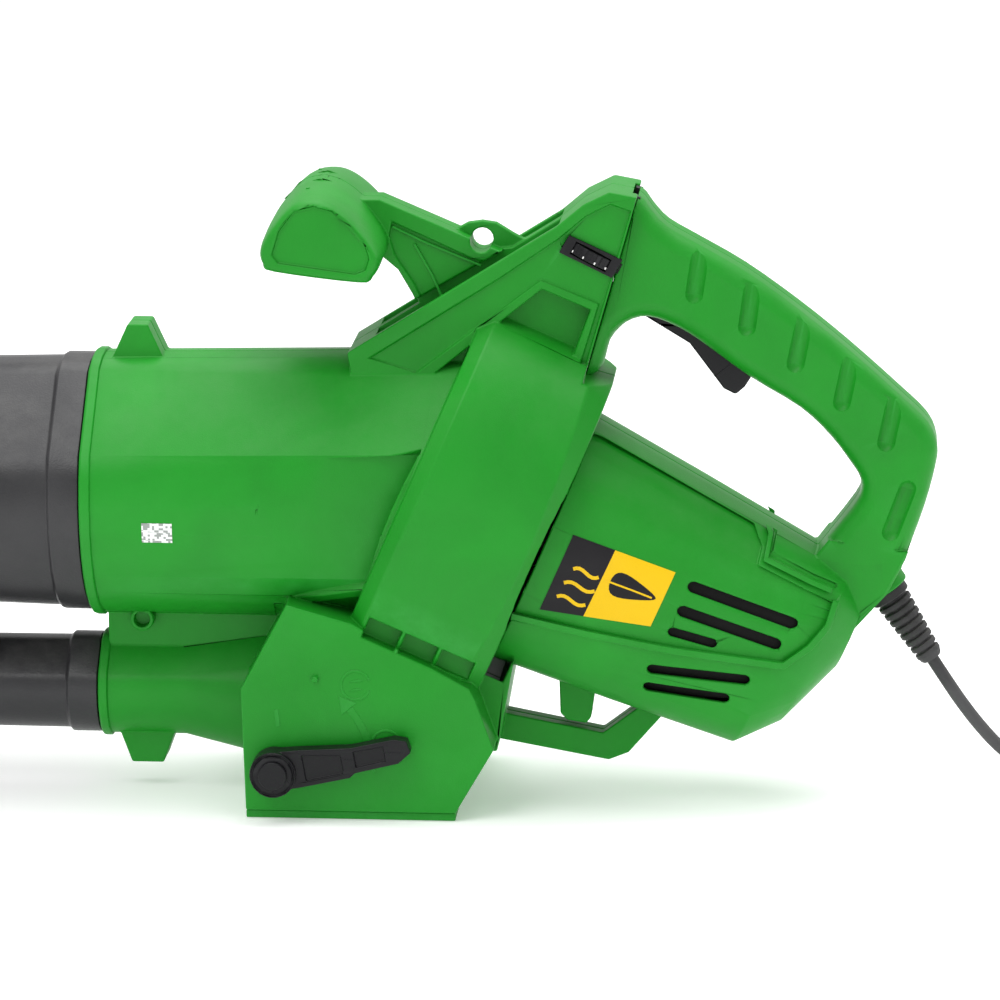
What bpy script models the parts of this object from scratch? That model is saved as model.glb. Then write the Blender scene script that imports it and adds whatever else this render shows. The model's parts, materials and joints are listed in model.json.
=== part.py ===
"""Corded leaf blower and garden vacuum: two-tone moulded body with twin tubes.

Frame: metres, +X from the tubes to the rear handle, +Y to the right side of the
machine, +Z up. The origin is the middle of the flat base that the body rests on.
"""

import math

import bmesh
import bpy
from mathutils import Matrix, Vector

# Overall sizes, metres
WALL = 0.003                 # moulded housing wall
GAP = 0.0003                 # between pieces that touch
FIT = 0.0006                 # running clearance of turning pieces
DUCT_RADIUS = 0.066          # suction duct
DUCT_HEIGHT = 0.156          # its axis above the floor
DUCT_FRONT = -0.134          # mouth of both ducts
BLOW_RADIUS = 0.026          # blower duct
HOLDER_RISE = 0.0052         # top of the axle holder above the blower duct's underside
BLOW_HEIGHT = 0.052
DUCT_SHOULDER = 68.0         # degrees, upper corner of a duct's section
DUCT_RIDGE = 22.6            # degrees, side ridge of a duct's section
BLOCK_HALF_WIDTH = 0.066     # base block
BLOCK_REAR_HALF_WIDTH = 0.042
FRAME_THICKNESS = 0.004      # base frame under the block
BLOCK_FLOOR = FRAME_THICKNESS + GAP + WALL
PORT_FRONT = -0.031          # bag port through the block's floor
PORT_REAR = 0.036
PORT_HALF_WIDTH = BLOCK_HALF_WIDTH - 0.011
POCKET_FRONT = -0.0265       # pockets between fan casing and block, along the motor axis
POCKET_REAR = 0.0300
POCKET_RIB = 0.0018
POCKET_DEPTH = 0.020
TUBE_SECTION = 0.296         # length of one tube section
TUBE_WALL = 0.0025
TUBE_TAPER = 0.007
BRIDGE_GAP = 0.0005

# Fan and motor, on one tilted axis
TILT = math.radians(23.5)
FAN_CENTRE = Vector((0.057, 0.0, 0.147))
FAN_HALF_HEIGHT = 0.098
FAN_HALF_WIDTH = 0.077
FAN_FRONT = -0.035
FAN_REAR = 0.037
FAN_CHAMFER = 0.0065
CHAMBER_HALF_HEIGHT = 0.078
CHAMBER_HALF_WIDTH = 0.072
IMPELLER_RADIUS = 0.062
EYE_RADIUS = 0.046
SHAFT_RADIUS = 0.004
BEARING_RADIUS = 0.011
BEARING_WIDTH = 0.007
STATOR_RADIUS = 0.041
STATOR_BORE = 0.0262
STATOR_LENGTH = 0.056
ARMATURE_RADIUS = 0.0254
COMMUTATOR_RADIUS = 0.0125
GUIDE_RADIUS = 0.0385        # shield round the brush gear
MOTOR_END = 0.165            # where the motor housing starts to close
TAIL_END = 0.196

# Handles
GRIP_HALF_WIDTH = 0.021
BRACKET_HALF_WIDTH = 0.028
WEB_HALF_WIDTH = 0.019
ARM_HALF_WIDTH = 0.012
BAR_HALF_LENGTH = 0.057      # front handle
RAIL_HALF_WIDTH = 0.008      # rail under the motor
TRIGGER_HALF_WIDTH = 0.0075
DIAL_RADIUS = 0.018
DIAL_WIDTH = 0.0055
DIAL_PROUD = 0.0025

# Mode lever and flap
LEVER_PIVOT = Vector((-0.038, 0.0, 0.026))
LEVER_REACH = 0.069
FLAP_LENGTH = 0.074
FLAP_SLOPE = math.radians(-11.0)
LEVER_SLOPE = math.radians(10.0)
FLAP_SHAFT_RADIUS = 0.004

# Guide wheels, cord and screws
WHEEL_RADIUS = 0.020
WHEEL_WIDTH = 0.012
WHEEL_HALF_TRACK = 0.041
AXLE_RADIUS = 0.003
CORD_DIAMETER = 0.0065
RELIEF_LENGTH = 0.042
SCREW_HEAD_RADIUS = 0.004

AXLE_X = DUCT_FRONT - 2.0 * TUBE_SECTION + 0.080
AXIS = Vector((math.cos(TILT), 0.0, -math.sin(TILT)))
CROSS = Vector((math.sin(TILT), 0.0, math.cos(TILT)))
UP = Vector((0.0, 0.0, 1.0))
SIDE = Vector((0.0, 1.0, 0.0))
SEAM_LOW = Vector((0.112, 0.0, 0.217))
SEAM_HIGH = Vector((0.1375, 0.0, 0.307))
DIAL_AXIS = Vector((0.46, 0.0, 0.888)).normalized()
DIAL_CENTRE = Vector((0.115, DIAL_RADIUS - DIAL_PROUD - BRACKET_HALF_WIDTH, 0.2775))
CORD_EXIT = Vector((0.56, 0.0, -0.83)).normalized()
RELIEF_BASE = Vector((0.262, 0.0, 0.106))
TRIGGER_PIVOT = Vector((0.1365, 0.0, 0.2540))

# Free cord, from the strain relief over the floor to its plug
CORD_ROUTE = [
    (0.2855, 0.000, 0.0710),
    (0.2925, 0.000, 0.0604),
    (0.3005, 0.000, 0.0488),
    (0.3095, 0.001, 0.0370),
    (0.3195, 0.003, 0.0258),
    (0.3305, 0.007, 0.0163),
    (0.3425, 0.013, 0.0092),
    (0.3545, 0.021, 0.0052),
    (0.3660, 0.031, 0.0036),
    (0.3755, 0.043, 0.0034),
    (0.3820, 0.057, 0.0035),
    (0.3855, 0.072, 0.0046),
    (0.3865, 0.087, 0.0075),
    (0.3860, 0.102, 0.0112),
    (0.3850, 0.116, 0.0140),
    (0.3842, 0.129, 0.0149),
    (0.3838, 0.142, 0.0150),
]
PLUG_RADIUS = 0.0150
PLUG_LENGTH = 0.034

# Outline of the D-shaped grip, outer edge first
HANDLE = [(0.1375, 0.3075), (0.1440, 0.2990), (0.1510, 0.2910), (0.1670, 0.2820), (0.1900, 0.2690),
          (0.2170, 0.2500), (0.2420, 0.2300), (0.2670, 0.2080), (0.2815, 0.1950), (0.2860, 0.1860),
          (0.2860, 0.1770), (0.2825, 0.1600), (0.2710, 0.1260), (0.2620, 0.1080), (0.2450, 0.0900),
          (0.2150, 0.1050), (0.2250, 0.1250), (0.2400, 0.1450), (0.2485, 0.1580), (0.2480, 0.1660),
          (0.2430, 0.1740), (0.2330, 0.1870), (0.2180, 0.2020), (0.1930, 0.2160), (0.1680, 0.2340),
          (0.1560, 0.2410), (0.1420, 0.2460), (0.1310, 0.2420), (0.1230, 0.2330), (0.1170, 0.2180),
          (0.1140, 0.2180)]
# Housing screws, by place in the middle plane
FRONT_SCREWS = {"housing_screw_top": (-0.111, 0.229), "housing_screw_web": (-0.110, 0.0890),
                "housing_screw_foot": (-0.109, 0.0205)}
REAR_SCREWS = [(0.052, 0.0545), (0.150, -0.0440)]
SEAT = 0.0065                # the screw heads' seats, in front of the parting plane
REAR_SEAT = 0.012


def clear_scene():
    """Take every object out of the scene."""
    for thing in list(bpy.data.objects):
        bpy.data.objects.remove(thing)


def collection(name):
    """Return a new collection that the scene shows."""
    group = bpy.data.collections.new(name)
    bpy.context.scene.collection.children.link(group)
    return group


def finish(name, colour, roughness, metallic=0.0):
    """Return a Principled material."""
    material = bpy.data.materials.new(name)
    material.use_nodes = True
    shader = material.node_tree.nodes["Principled BSDF"]
    shader.inputs["Base Color"].default_value = (*colour, 1.0)
    shader.inputs["Roughness"].default_value = roughness
    shader.inputs["Metallic"].default_value = metallic
    return material


clear_scene()
PARTS = collection("leaf_blower")
CUTTERS = collection("cutters")
GREEN = finish("green_plastic", (0.035, 0.36, 0.045), 0.42)
BLACK = finish("black_plastic", (0.018, 0.018, 0.020), 0.45)
RUBBER = finish("black_rubber", (0.015, 0.015, 0.015), 0.70)
STEEL = finish("steel", (0.55, 0.55, 0.56), 0.35, 1.0)
LAMINATION = finish("lamination_steel", (0.30, 0.30, 0.32), 0.45, 1.0)
COPPER = finish("copper", (0.72, 0.36, 0.20), 0.35, 1.0)
CARBON = finish("carbon", (0.04, 0.04, 0.04), 0.80)
YELLOW = finish("capacitor_film", (0.80, 0.55, 0.05), 0.40)
BOARD = finish("circuit_board", (0.03, 0.20, 0.08), 0.50)


def weld(mesh):
    """Join a closed mesh's doubled points and turn its faces outwards."""
    work = bmesh.new()
    work.from_mesh(mesh)
    bmesh.ops.remove_doubles(work, verts=work.verts, dist=1e-6)
    bmesh.ops.dissolve_degenerate(work, edges=work.edges, dist=1e-6)
    bmesh.ops.recalc_face_normals(work, faces=work.faces)
    work.to_mesh(mesh)
    work.free()
    mesh.update()


def add(name, mesh, material, group=PARTS):
    """Return a new object that shows a mesh, smooth but for its sharp edges."""
    mesh.name = name
    mesh.materials.clear()
    if material:
        mesh.materials.append(material)
    mesh.shade_smooth()
    mesh.set_sharp_from_angle(angle=math.radians(35.0))
    thing = bpy.data.objects.new(name, mesh)
    group.objects.link(thing)
    if group is CUTTERS:
        thing.hide_render = True
        thing.display_type = "WIRE"
    return thing


def settle(thing):
    """Give an object the mesh that its modifiers make, with its place applied."""
    bpy.context.view_layer.update()
    graph = bpy.context.evaluated_depsgraph_get()
    mesh = bpy.data.meshes.new_from_object(thing.evaluated_get(graph))
    mesh.transform(thing.matrix_world)
    weld(mesh)
    name = thing.name
    group = thing.users_collection[0]
    material = thing.active_material
    bpy.data.objects.remove(thing)
    return add(name, mesh, material, group)


def combine(target, tools, operation):
    """Apply one Boolean after another to an object and drop the tools."""
    for tool in tools:
        boolean = target.modifiers.new(tool.name, "BOOLEAN")
        boolean.operation = operation
        boolean.solver = "EXACT"
        boolean.object = tool
        tool.hide_render = True
        tool.display_type = "WIRE"
    result = settle(target)
    for tool in tools:
        bpy.data.objects.remove(tool)
    return result


def join(target, tools):
    """Union the tools into the target."""
    return combine(target, tools, "UNION")


def cut(target, tools):
    """Cut the tools out of the target."""
    return combine(target, tools, "DIFFERENCE")


def copy(thing, name, group=CUTTERS):
    """Return a copy of an object with a mesh of its own."""
    return add(name, thing.data.copy(), thing.active_material, group)


def plate(name, outlines, low, high, material=None, group=CUTTERS):
    """Return flat XZ outlines, the first outer and the rest holes, from low to high in Y."""
    curve = bpy.data.curves.new(name, "CURVE")
    curve.dimensions = "2D"
    curve.fill_mode = "BOTH"
    curve.extrude = (high - low) / 2.0
    for outline in outlines:
        spline = curve.splines.new("POLY")
        spline.points.add(len(outline) - 1)
        for point, (x, z) in zip(spline.points, outline):
            point.co = (x, z, 0.0, 1.0)
        spline.use_cyclic_u = True
    thing = bpy.data.objects.new(name, curve)
    thing.rotation_euler = (math.pi / 2.0, 0.0, 0.0)
    thing.location = (0.0, (low + high) / 2.0, 0.0)
    CUTTERS.objects.link(thing)
    bpy.context.view_layer.update()
    graph = bpy.context.evaluated_depsgraph_get()
    mesh = bpy.data.meshes.new_from_object(thing.evaluated_get(graph))
    mesh.transform(thing.matrix_world)
    bpy.data.objects.remove(thing)
    weld(mesh)
    return add(name, mesh, material, group)


def box(name, low, high, material=None, group=CUTTERS):
    """Return a box between two corners."""
    work = bmesh.new()
    size = Vector(high) - Vector(low)
    centre = (Vector(high) + Vector(low)) / 2.0
    place = Matrix.Translation(centre) @ Matrix.Diagonal((*size, 1.0))
    bmesh.ops.create_cube(work, size=1.0, matrix=place)
    mesh = bpy.data.meshes.new(name)
    work.to_mesh(mesh)
    work.free()
    return add(name, mesh, material, group)


def turn_to(direction):
    """Return the shortest rotation that takes +Z to a direction."""
    return UP.rotation_difference(Vector(direction)).to_matrix().to_4x4()


def rod(name, start, end, radius, material=None, group=CUTTERS, sides=32):
    """Return a cylinder between two points."""
    start = Vector(start)
    end = Vector(end)
    work = bmesh.new()
    place = Matrix.Translation((start + end) / 2.0) @ turn_to(end - start)
    bmesh.ops.create_cone(work, cap_ends=True, segments=sides, radius1=radius, radius2=radius,
                          depth=(end - start).length, matrix=place)
    mesh = bpy.data.meshes.new(name)
    work.to_mesh(mesh)
    work.free()
    weld(mesh)
    return add(name, mesh, material, group)


def turned(name, profile, base, direction, material=None, group=CUTTERS, steps=32, ring=False):
    """Return a turned piece: (radius, height) pairs down its outer side, turned about a direction."""
    mesh = bpy.data.meshes.new(name)
    points = [(radius, 0.0, height) for radius, height in profile]
    edges = [(index, index + 1) for index in range(len(points) - 1)]
    if ring:
        edges.append((len(points) - 1, 0))
    mesh.from_pydata(points, edges, [])
    thing = bpy.data.objects.new(name, mesh)
    group.objects.link(thing)
    screw = thing.modifiers.new("turn", "SCREW")
    screw.axis = "Z"
    screw.steps = steps
    screw.render_steps = steps
    screw.use_merge_vertices = True
    screw.merge_threshold = 1e-6
    thing.matrix_world = Matrix.Translation(Vector(base)) @ turn_to(direction)
    result = settle(thing)
    result.data.materials.clear()
    if material:
        result.data.materials.append(material)
    return result


def loft(name, rings, material=None, group=CUTTERS):
    """Return a closed solid through rings of points, capped at both ends."""
    work = bmesh.new()
    rows = [[work.verts.new(point) for point in ring] for ring in rings]
    count = len(rings[0])
    for near, far in zip(rows, rows[1:]):
        for index in range(count):
            after = (index + 1) % count
            work.faces.new((near[index], near[after], far[after], far[index]))
    work.faces.new(rows[0])
    work.faces.new(rows[-1])
    mesh = bpy.data.meshes.new(name)
    work.to_mesh(mesh)
    work.free()
    weld(mesh)
    return add(name, mesh, material, group)


def pipe(name, outer, inner, material=None, group=PARTS):
    """Return a hollow solid between an outer and an inner row of rings, open at both ends."""
    work = bmesh.new()
    count = len(outer[0])
    loop = list(outer) + list(reversed(inner))
    rows = [[work.verts.new(point) for point in ring] for ring in loop]
    for near, far in zip(rows, rows[1:] + rows[:1]):
        for index in range(count):
            after = (index + 1) % count
            work.faces.new((near[index], near[after], far[after], far[index]))
    mesh = bpy.data.meshes.new(name)
    work.to_mesh(mesh)
    work.free()
    weld(mesh)
    return add(name, mesh, material, group)


def wire(name, points, diameter, material, group=PARTS):
    """Return a tube along points, with filled ends."""
    curve = bpy.data.curves.new(name, "CURVE")
    curve.dimensions = "3D"
    curve.bevel_depth = diameter / 2.0
    curve.bevel_resolution = 2
    curve.use_fill_caps = True
    curve.materials.append(material)
    spline = curve.splines.new("POLY")
    spline.points.add(len(points) - 1)
    for point, place in zip(spline.points, points):
        point.co = (*place, 1.0)
    thing = bpy.data.objects.new(name, curve)
    group.objects.link(thing)
    return thing


def smooth_path(route, count):
    """Return points along a Catmull-Rom curve through a route, at even steps of its parameter."""
    points = [Vector(point) for point in route]
    points = [2 * points[0] - points[1]] + points + [2 * points[-1] - points[-2]]
    spans = len(points) - 3
    result = []
    for step in range(count + 1):
        place = min(step / count * spans, spans - 1e-9)
        index = int(place)
        part = place - index
        a, b, c, d = points[index:index + 4]
        curve = 2 * b + (c - a) * part + (2 * a - 5 * b + 4 * c - d) * part ** 2
        curve += (3 * b - a - 3 * c + d) * part ** 3
        result.append(curve / 2.0)
    return result


def motor_point(along, across, side=0.0):
    """Return a point given along the motor axis, across it and to the side."""
    return FAN_CENTRE + AXIS * along + CROSS * across + SIDE * side


def superellipse(half_height, half_width, power, count):
    """Return (across, side) points of a rounded rectangle-like oval."""
    points = []
    for step in range(count):
        angle = 2.0 * math.pi * (step + 0.5) / count
        cosine = math.cos(angle)
        sine = math.sin(angle)
        across = math.copysign(abs(cosine) ** (2.0 / power), cosine) * half_height
        side = math.copysign(abs(sine) ** (2.0 / power), sine) * half_width
        points.append((across, side))
    return points


def fan_ring(along, half_height, half_width, bulge=0.0, power=2.4, count=44):
    """Return one ring of the fan casing, bulged rearwards at its widest points."""
    ring = []
    for across, side in superellipse(half_height, half_width, power, count):
        share = max(0.0, 1.0 - (across / FAN_HALF_HEIGHT) ** 2)
        ring.append(motor_point(along + bulge * share, across, side))
    return ring


def duct_ring(x, radius, height, plane=None):
    """Return a duct's section at x: two flats above a ridge on each side, round below.

    With a plane given, the section's points slide along X on to the fan casing's plane
    at that distance along the motor axis.
    """
    drop = (DUCT_RIDGE + 90.0) / 10.0
    right = [(90.0 + DUCT_SHOULDER) / 2.0, DUCT_SHOULDER, DUCT_RIDGE]
    right += [DUCT_RIDGE - drop * step for step in range(1, 10)]
    angles = [90.0] + right + [-90.0] + [180.0 - angle for angle in reversed(right)]
    ring = []
    for degrees in angles:
        y = radius * math.cos(math.radians(degrees))
        z = height + radius * math.sin(math.radians(degrees))
        place = x
        if plane is not None:
            place = FAN_CENTRE.x + (plane + (z - FAN_CENTRE.z) * math.sin(TILT)) / math.cos(TILT)
        ring.append(Vector((place, y, z)))
    return ring


def grown(rings, amount, centre_height):
    """Return duct rings with their points moved outwards from the duct's axis."""
    result = []
    for ring in rings:
        moved = []
        for point in ring:
            arm = Vector((0.0, point.y, point.z - centre_height))
            moved.append(point + arm.normalized() * amount)
        result.append(moved)
    return result


# ---------------------------------------------------------------- front housing

def block_outline(inset=0.0):
    """Return the base block's side outline, moved inwards by an inset."""
    low = FRAME_THICKNESS + GAP
    corners = [(-0.053, low), (0.051, low), (0.070, 0.037), (0.061, 0.062), (0.058, 0.068),
               (0.000, 0.100), (-0.032, 0.109), (-0.055, 0.066)]
    return offset_outline(corners, inset)


def offset_outline(corners, inset):
    """Return a counter-clockwise outline with each side moved inwards."""
    if not inset:
        return corners
    result = []
    count = len(corners)
    for index in range(count):
        before = Vector(corners[index - 1])
        here = Vector(corners[index])
        after = Vector(corners[(index + 1) % count])
        first = (here - before).normalized()
        second = (after - here).normalized()
        first_normal = Vector((-first.y, first.x))
        second_normal = Vector((-second.y, second.x))
        middle = first_normal + second_normal
        result.append(tuple(here + middle * (inset / (1.0 + first_normal.dot(second_normal)))))
    return result


def fan_body(name, half_height, half_width, front, rear, chamfer, bulge):
    """Return the tilted fan casing, or its chamber, as a solid."""
    rings = []
    if chamfer:
        rings.append(fan_ring(front, half_height - chamfer, half_width - chamfer))
        rings.append(fan_ring(front + chamfer, half_height, half_width))
        rings.append(fan_ring(rear - 2.0 * chamfer, half_height, half_width, bulge))
        rings.append(fan_ring(rear, half_height - 1.2 * chamfer, half_width - chamfer))
    else:
        rings.append(fan_ring(front, half_height, half_width))
        rings.append(fan_ring(rear, half_height, half_width))
    return loft(name, rings)


def pocket_cutters():
    """Return the three pockets between the fan casing and the block, on both sides."""
    cutters = []
    low = -0.0700
    high = -0.0590
    span = (POCKET_REAR - POCKET_FRONT - 2.0 * POCKET_RIB) / 3.0
    for side in (-1.0, 1.0):
        for index in range(3):
            start = POCKET_FRONT + index * (span + POCKET_RIB)
            corners = [(start, low), (start + span, low), (start + span, high), (start, high)]
            outline = []
            for along, across in corners:
                point = motor_point(along, across)
                outline.append((point.x, point.z))
            near = (FAN_HALF_WIDTH - POCKET_DEPTH) * side
            far = (FAN_HALF_WIDTH + 0.01) * side
            cutters.append(plate("pocket", [outline], min(near, far), max(near, far)))
    return cutters


def front_solid():
    """Return the front housing's outer shape: ducts, block, fan casing, bracket and handle."""
    duct = loft("duct", [
        duct_ring(DUCT_FRONT, DUCT_RADIUS, DUCT_HEIGHT),
        duct_ring(FAN_CENTRE.x, DUCT_RADIUS + 0.002, DUCT_HEIGHT + 0.002, FAN_FRONT + 0.02),
    ])
    blow = loft("blow", [
        duct_ring(DUCT_FRONT + 0.002, BLOW_RADIUS, BLOW_HEIGHT),
        duct_ring(-0.090, BLOW_RADIUS, BLOW_HEIGHT),
        duct_ring(-0.045, BLOW_RADIUS + 0.007, BLOW_HEIGHT - 0.004),
    ])
    web = box("web", (DUCT_FRONT + 0.006, -0.012, BLOW_HEIGHT), (-0.030, 0.012, DUCT_HEIGHT - 0.05))
    fan = fan_body("fan", FAN_HALF_HEIGHT, FAN_HALF_WIDTH, FAN_FRONT, FAN_REAR, FAN_CHAMFER, 0.007)
    block = plate("block", [block_outline()], -BLOCK_HALF_WIDTH, BLOCK_HALF_WIDTH)
    rear_block = plate("rear_block", [[(0.030, 0.031), (0.070, 0.030), (0.079, 0.080),
                                       (0.060, 0.110), (0.030, 0.110)]],
                       -BLOCK_REAR_HALF_WIDTH, BLOCK_REAR_HALF_WIDTH)
    strut = plate("strut", [[(-0.005, 0.228), (-0.002, 0.212), (0.032, 0.213), (0.091, 0.261),
                             (0.115, 0.251), (0.104, 0.221), (0.098, 0.205),
                             (0.1085, 0.205), (SEAM_LOW.x, SEAM_LOW.z), (SEAM_HIGH.x, SEAM_HIGH.z),
                             (0.124, 0.3095), (0.111, 0.303), (0.098, 0.292)]],
                  -BRACKET_HALF_WIDTH, BRACKET_HALF_WIDTH)
    panel = plate("panel", [[(0.020, 0.190), (0.105, 0.190), (0.1085, 0.212), (0.119, 0.253),
                             (0.090, 0.267), (0.026, 0.217)]],
                  -WEB_HALF_WIDTH, WEB_HALF_WIDTH)
    arm = plate("arm", [[(-0.006, 0.276), (0.008, 0.276), (0.019, 0.267), (0.026, 0.255),
                         (0.033, 0.240), (0.060, 0.250), (0.086, 0.279), (0.069, 0.277),
                         (0.010, 0.302), (-0.004, 0.302)]], -ARM_HALF_WIDTH, ARM_HALF_WIDTH)
    eye = plate("eye", [[(0.036, 0.280), (0.045, 0.285), (0.053, 0.2895), (0.0600, 0.2905),
                         (0.067, 0.2895), (0.076, 0.2840), (0.084, 0.280), (0.070, 0.268),
                         (0.045, 0.268)]], -0.0025, 0.0025)
    top_lug = plate("top_lug", [[(-0.128, 0.212), (-0.094, 0.212), (-0.106, 0.238),
                                 (-0.116, 0.238)]], -0.012, 0.012)
    foot_lug = plate("foot_lug", [[(-0.124, 0.032), (-0.117, 0.013), (-0.101, 0.013),
                                   (-0.094, 0.032)]], -0.012, 0.012)
    solid = join(fan, [duct, blow, web, block, rear_block, strut, panel, arm, front_bar(), eye,
                       top_lug, foot_lug])
    strap_hole = rod("strap_hole", (0.060, -0.02, 0.2815), (0.060, 0.02, 0.2815), 0.0055, sides=16)
    dial_slot = dial_slot_cutter()
    return cut(solid, pocket_cutters() + [strap_hole, dial_slot])


def bar_ring(y, shrink, drop):
    """Return one ring of the front handle's cross bar."""
    corners = [(-0.0450, 0.2870), (-0.0440, 0.2800), (-0.0385, 0.2760), (0.0040, 0.2710),
               (0.0105, 0.2735), (0.0140, 0.2800), (0.0125, 0.2870), (0.0030, 0.3000),
               (-0.0080, 0.3090), (-0.0180, 0.3125), (-0.0290, 0.3095), (-0.0400, 0.2970)]
    centre = Vector((-0.0150, 0.2910))
    ring = []
    for corner in corners:
        place = centre + (Vector(corner) - centre) * shrink
        ring.append(Vector((place.x, y, place.y - drop)))
    return ring


def front_bar(inset=0.0):
    """Return the front handle's cross bar, or its hollow with an inset."""
    share = 1.0 - inset / 0.020
    ends = [(-BAR_HALF_LENGTH, 0.86, 0.004), (-BAR_HALF_LENGTH + 0.004, 0.98, 0.0035),
            (-0.030, 1.0, 0.0015), (0.0, 1.0, 0.0), (0.030, 1.0, 0.0015),
            (BAR_HALF_LENGTH - 0.004, 0.98, 0.0035), (BAR_HALF_LENGTH, 0.86, 0.004)]
    rings = []
    for y, shrink, drop in ends:
        reach = y * (1.0 - inset / BAR_HALF_LENGTH)
        rings.append(bar_ring(reach, shrink * share, drop))
    return loft("bar", rings)


def front_hollow():
    """Return the space inside the front housing."""
    chamber = fan_body("chamber", CHAMBER_HALF_HEIGHT, CHAMBER_HALF_WIDTH, FAN_FRONT + WALL,
                       FAN_REAR + 0.01, 0.0, 0.0)
    bore = DUCT_RADIUS - WALL
    duct = loft("duct_hollow", [duct_ring(DUCT_FRONT - 0.01, bore, DUCT_HEIGHT),
                                duct_ring(0.0, bore, DUCT_HEIGHT, FAN_FRONT - 0.0005)])
    eye = rod("intake_eye", motor_point(FAN_FRONT - 0.01, 0.0), motor_point(FAN_FRONT + 0.01, 0.0),
              EYE_RADIUS)
    blow_bore = BLOW_RADIUS - WALL
    blow = loft("blow_hollow", [duct_ring(DUCT_FRONT - 0.01, blow_bore, BLOW_HEIGHT),
                                duct_ring(-0.040, blow_bore, BLOW_HEIGHT)])
    low = BLOCK_FLOOR
    ceiling = motor_point(0.0, -0.0735)
    slope = -math.tan(TILT)
    outline = [(-0.050, low), (0.049, low), (0.065, 0.038), (0.056, 0.064),
               (0.049, ceiling.z + (0.049 - ceiling.x) * slope),
               (-0.033, ceiling.z + (-0.033 - ceiling.x) * slope), (-0.0515, 0.066)]
    block = plate("block_hollow", [outline], WALL - BLOCK_HALF_WIDTH, BLOCK_HALF_WIDTH - WALL)
    port = box("port", (PORT_FRONT, -PORT_HALF_WIDTH, -0.01),
               (PORT_REAR, PORT_HALF_WIDTH, BLOCK_FLOOR + 0.001))
    bracket = plate("bracket_hollow", [[(0.060, 0.248), (0.082, 0.256), (0.096, 0.266),
                                        (0.118, 0.254), (0.108, 0.215), (0.1185, 0.220),
                                        (0.145, 0.310), (0.125, 0.3045), (0.114, 0.299),
                                        (0.101, 0.289)]],
                    WALL - WEB_HALF_WIDTH, WEB_HALF_WIDTH - WALL)
    arm = plate("arm_hollow", [[(-0.004, 0.281), (0.009, 0.281), (0.022, 0.270), (0.029, 0.258),
                                (0.034, 0.247), (0.058, 0.254), (0.070, 0.268), (0.050, 0.276),
                                (0.010, 0.297), (-0.004, 0.297)]],
                WALL - ARM_HALF_WIDTH, ARM_HALF_WIDTH - WALL)
    lever_hole = rod("lever_hole", LEVER_PIVOT - SIDE * 0.08,
                     LEVER_PIVOT - SIDE * (BLOCK_HALF_WIDTH - 0.010),
                     FLAP_SHAFT_RADIUS + FIT, sides=24)
    hollow = join(chamber, [duct, eye, blow, block, port, bracket])
    grip = join(front_bar(WALL), [arm])
    return [hollow, grip, lever_hole]


def half(thing, name, side):
    """Return one half of a housing, to one side of the parting plane."""
    near = GAP / 2.0 * side
    far = 0.2 * side
    keep = box("keep", (-0.3, min(near, far), -0.1), (0.4, max(near, far), 0.5))
    piece = copy(thing, name, PARTS)
    result = combine(piece, [keep], "INTERSECT")
    result.data.materials.clear()
    result.data.materials.append(GREEN)
    return result


def dial_slot_cutter():
    """Return the cutter of the pocket that the speed dial turns in."""
    reach = DIAL_AXIS * (DIAL_WIDTH / 2.0 + FIT)
    return rod("dial_slot", DIAL_CENTRE - reach, DIAL_CENTRE + reach, DIAL_RADIUS + 0.002)


def rail_outline():
    """Return the side outline of the rail under the motor."""
    return [(0.066, 0.0420), (0.066, 0.0280), (0.1240, 0.0175), (0.1340, 0.0215),
            (0.1535, 0.0440), (0.1440, 0.0490), (0.1210, 0.0315), (0.0740, 0.0405)]


# ---------------------------------------------------------------- rear housing


def motor_ring(along, middle, half_height, half_width, count=32):
    """Return one ring of the motor housing."""
    ring = []
    for across, side in superellipse(half_height, half_width, 2.6, count):
        ring.append(motor_point(along, middle + across, side))
    return ring


def motor_body(name, front, inset):
    """Return the motor housing's outer shape, or its hollow with an inset."""
    stations = [(front, 0.0, 0.0655, 0.0600), (0.100, -0.0013, 0.0600, 0.0560),
                (MOTOR_END, -0.0025, 0.0537, 0.0500), (0.182, 0.0050, 0.0420, 0.0420),
                (TAIL_END, 0.0180, 0.0200, 0.0240)]
    rings = []
    for index, (along, middle, half_height, half_width) in enumerate(stations):
        place = along - inset * index / 4.0
        rings.append(motor_ring(place, middle, half_height - inset, half_width - inset))
    return loft(name, rings)


def seam_cutter(name, below, near, far):
    """Return a slab along the seam between the bracket and the grip.

    It starts below the seam's lower end by one distance and runs between two others,
    measured from the seam towards the grip.
    """
    along = (SEAM_HIGH - SEAM_LOW).normalized()
    normal = Vector((along.z, 0.0, -along.x))
    low = SEAM_LOW - along * below
    high = SEAM_HIGH + along * 0.05
    corners = [low + normal * near, high + normal * near, high + normal * far,
               low + normal * far]
    return plate(name, [[(point.x, point.z) for point in corners]], -0.1, 0.1)


def vent_slot(start, end, width):
    """Return the XZ outline of a slot with round ends, from start to end."""
    start = Vector(start)
    end = Vector(end)
    along = (end - start).normalized()
    side = Vector((-along.y, along.x)) * (width / 2.0)
    outline = []
    for centre, direction in ((end, -1.0), (start, 1.0)):
        for step in range(5):
            angle = math.pi * step / 4.0
            outline.append(tuple(centre + side * direction * math.cos(angle)
                                 - along * direction * abs(side.length) * math.sin(angle)))
    return outline


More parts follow.
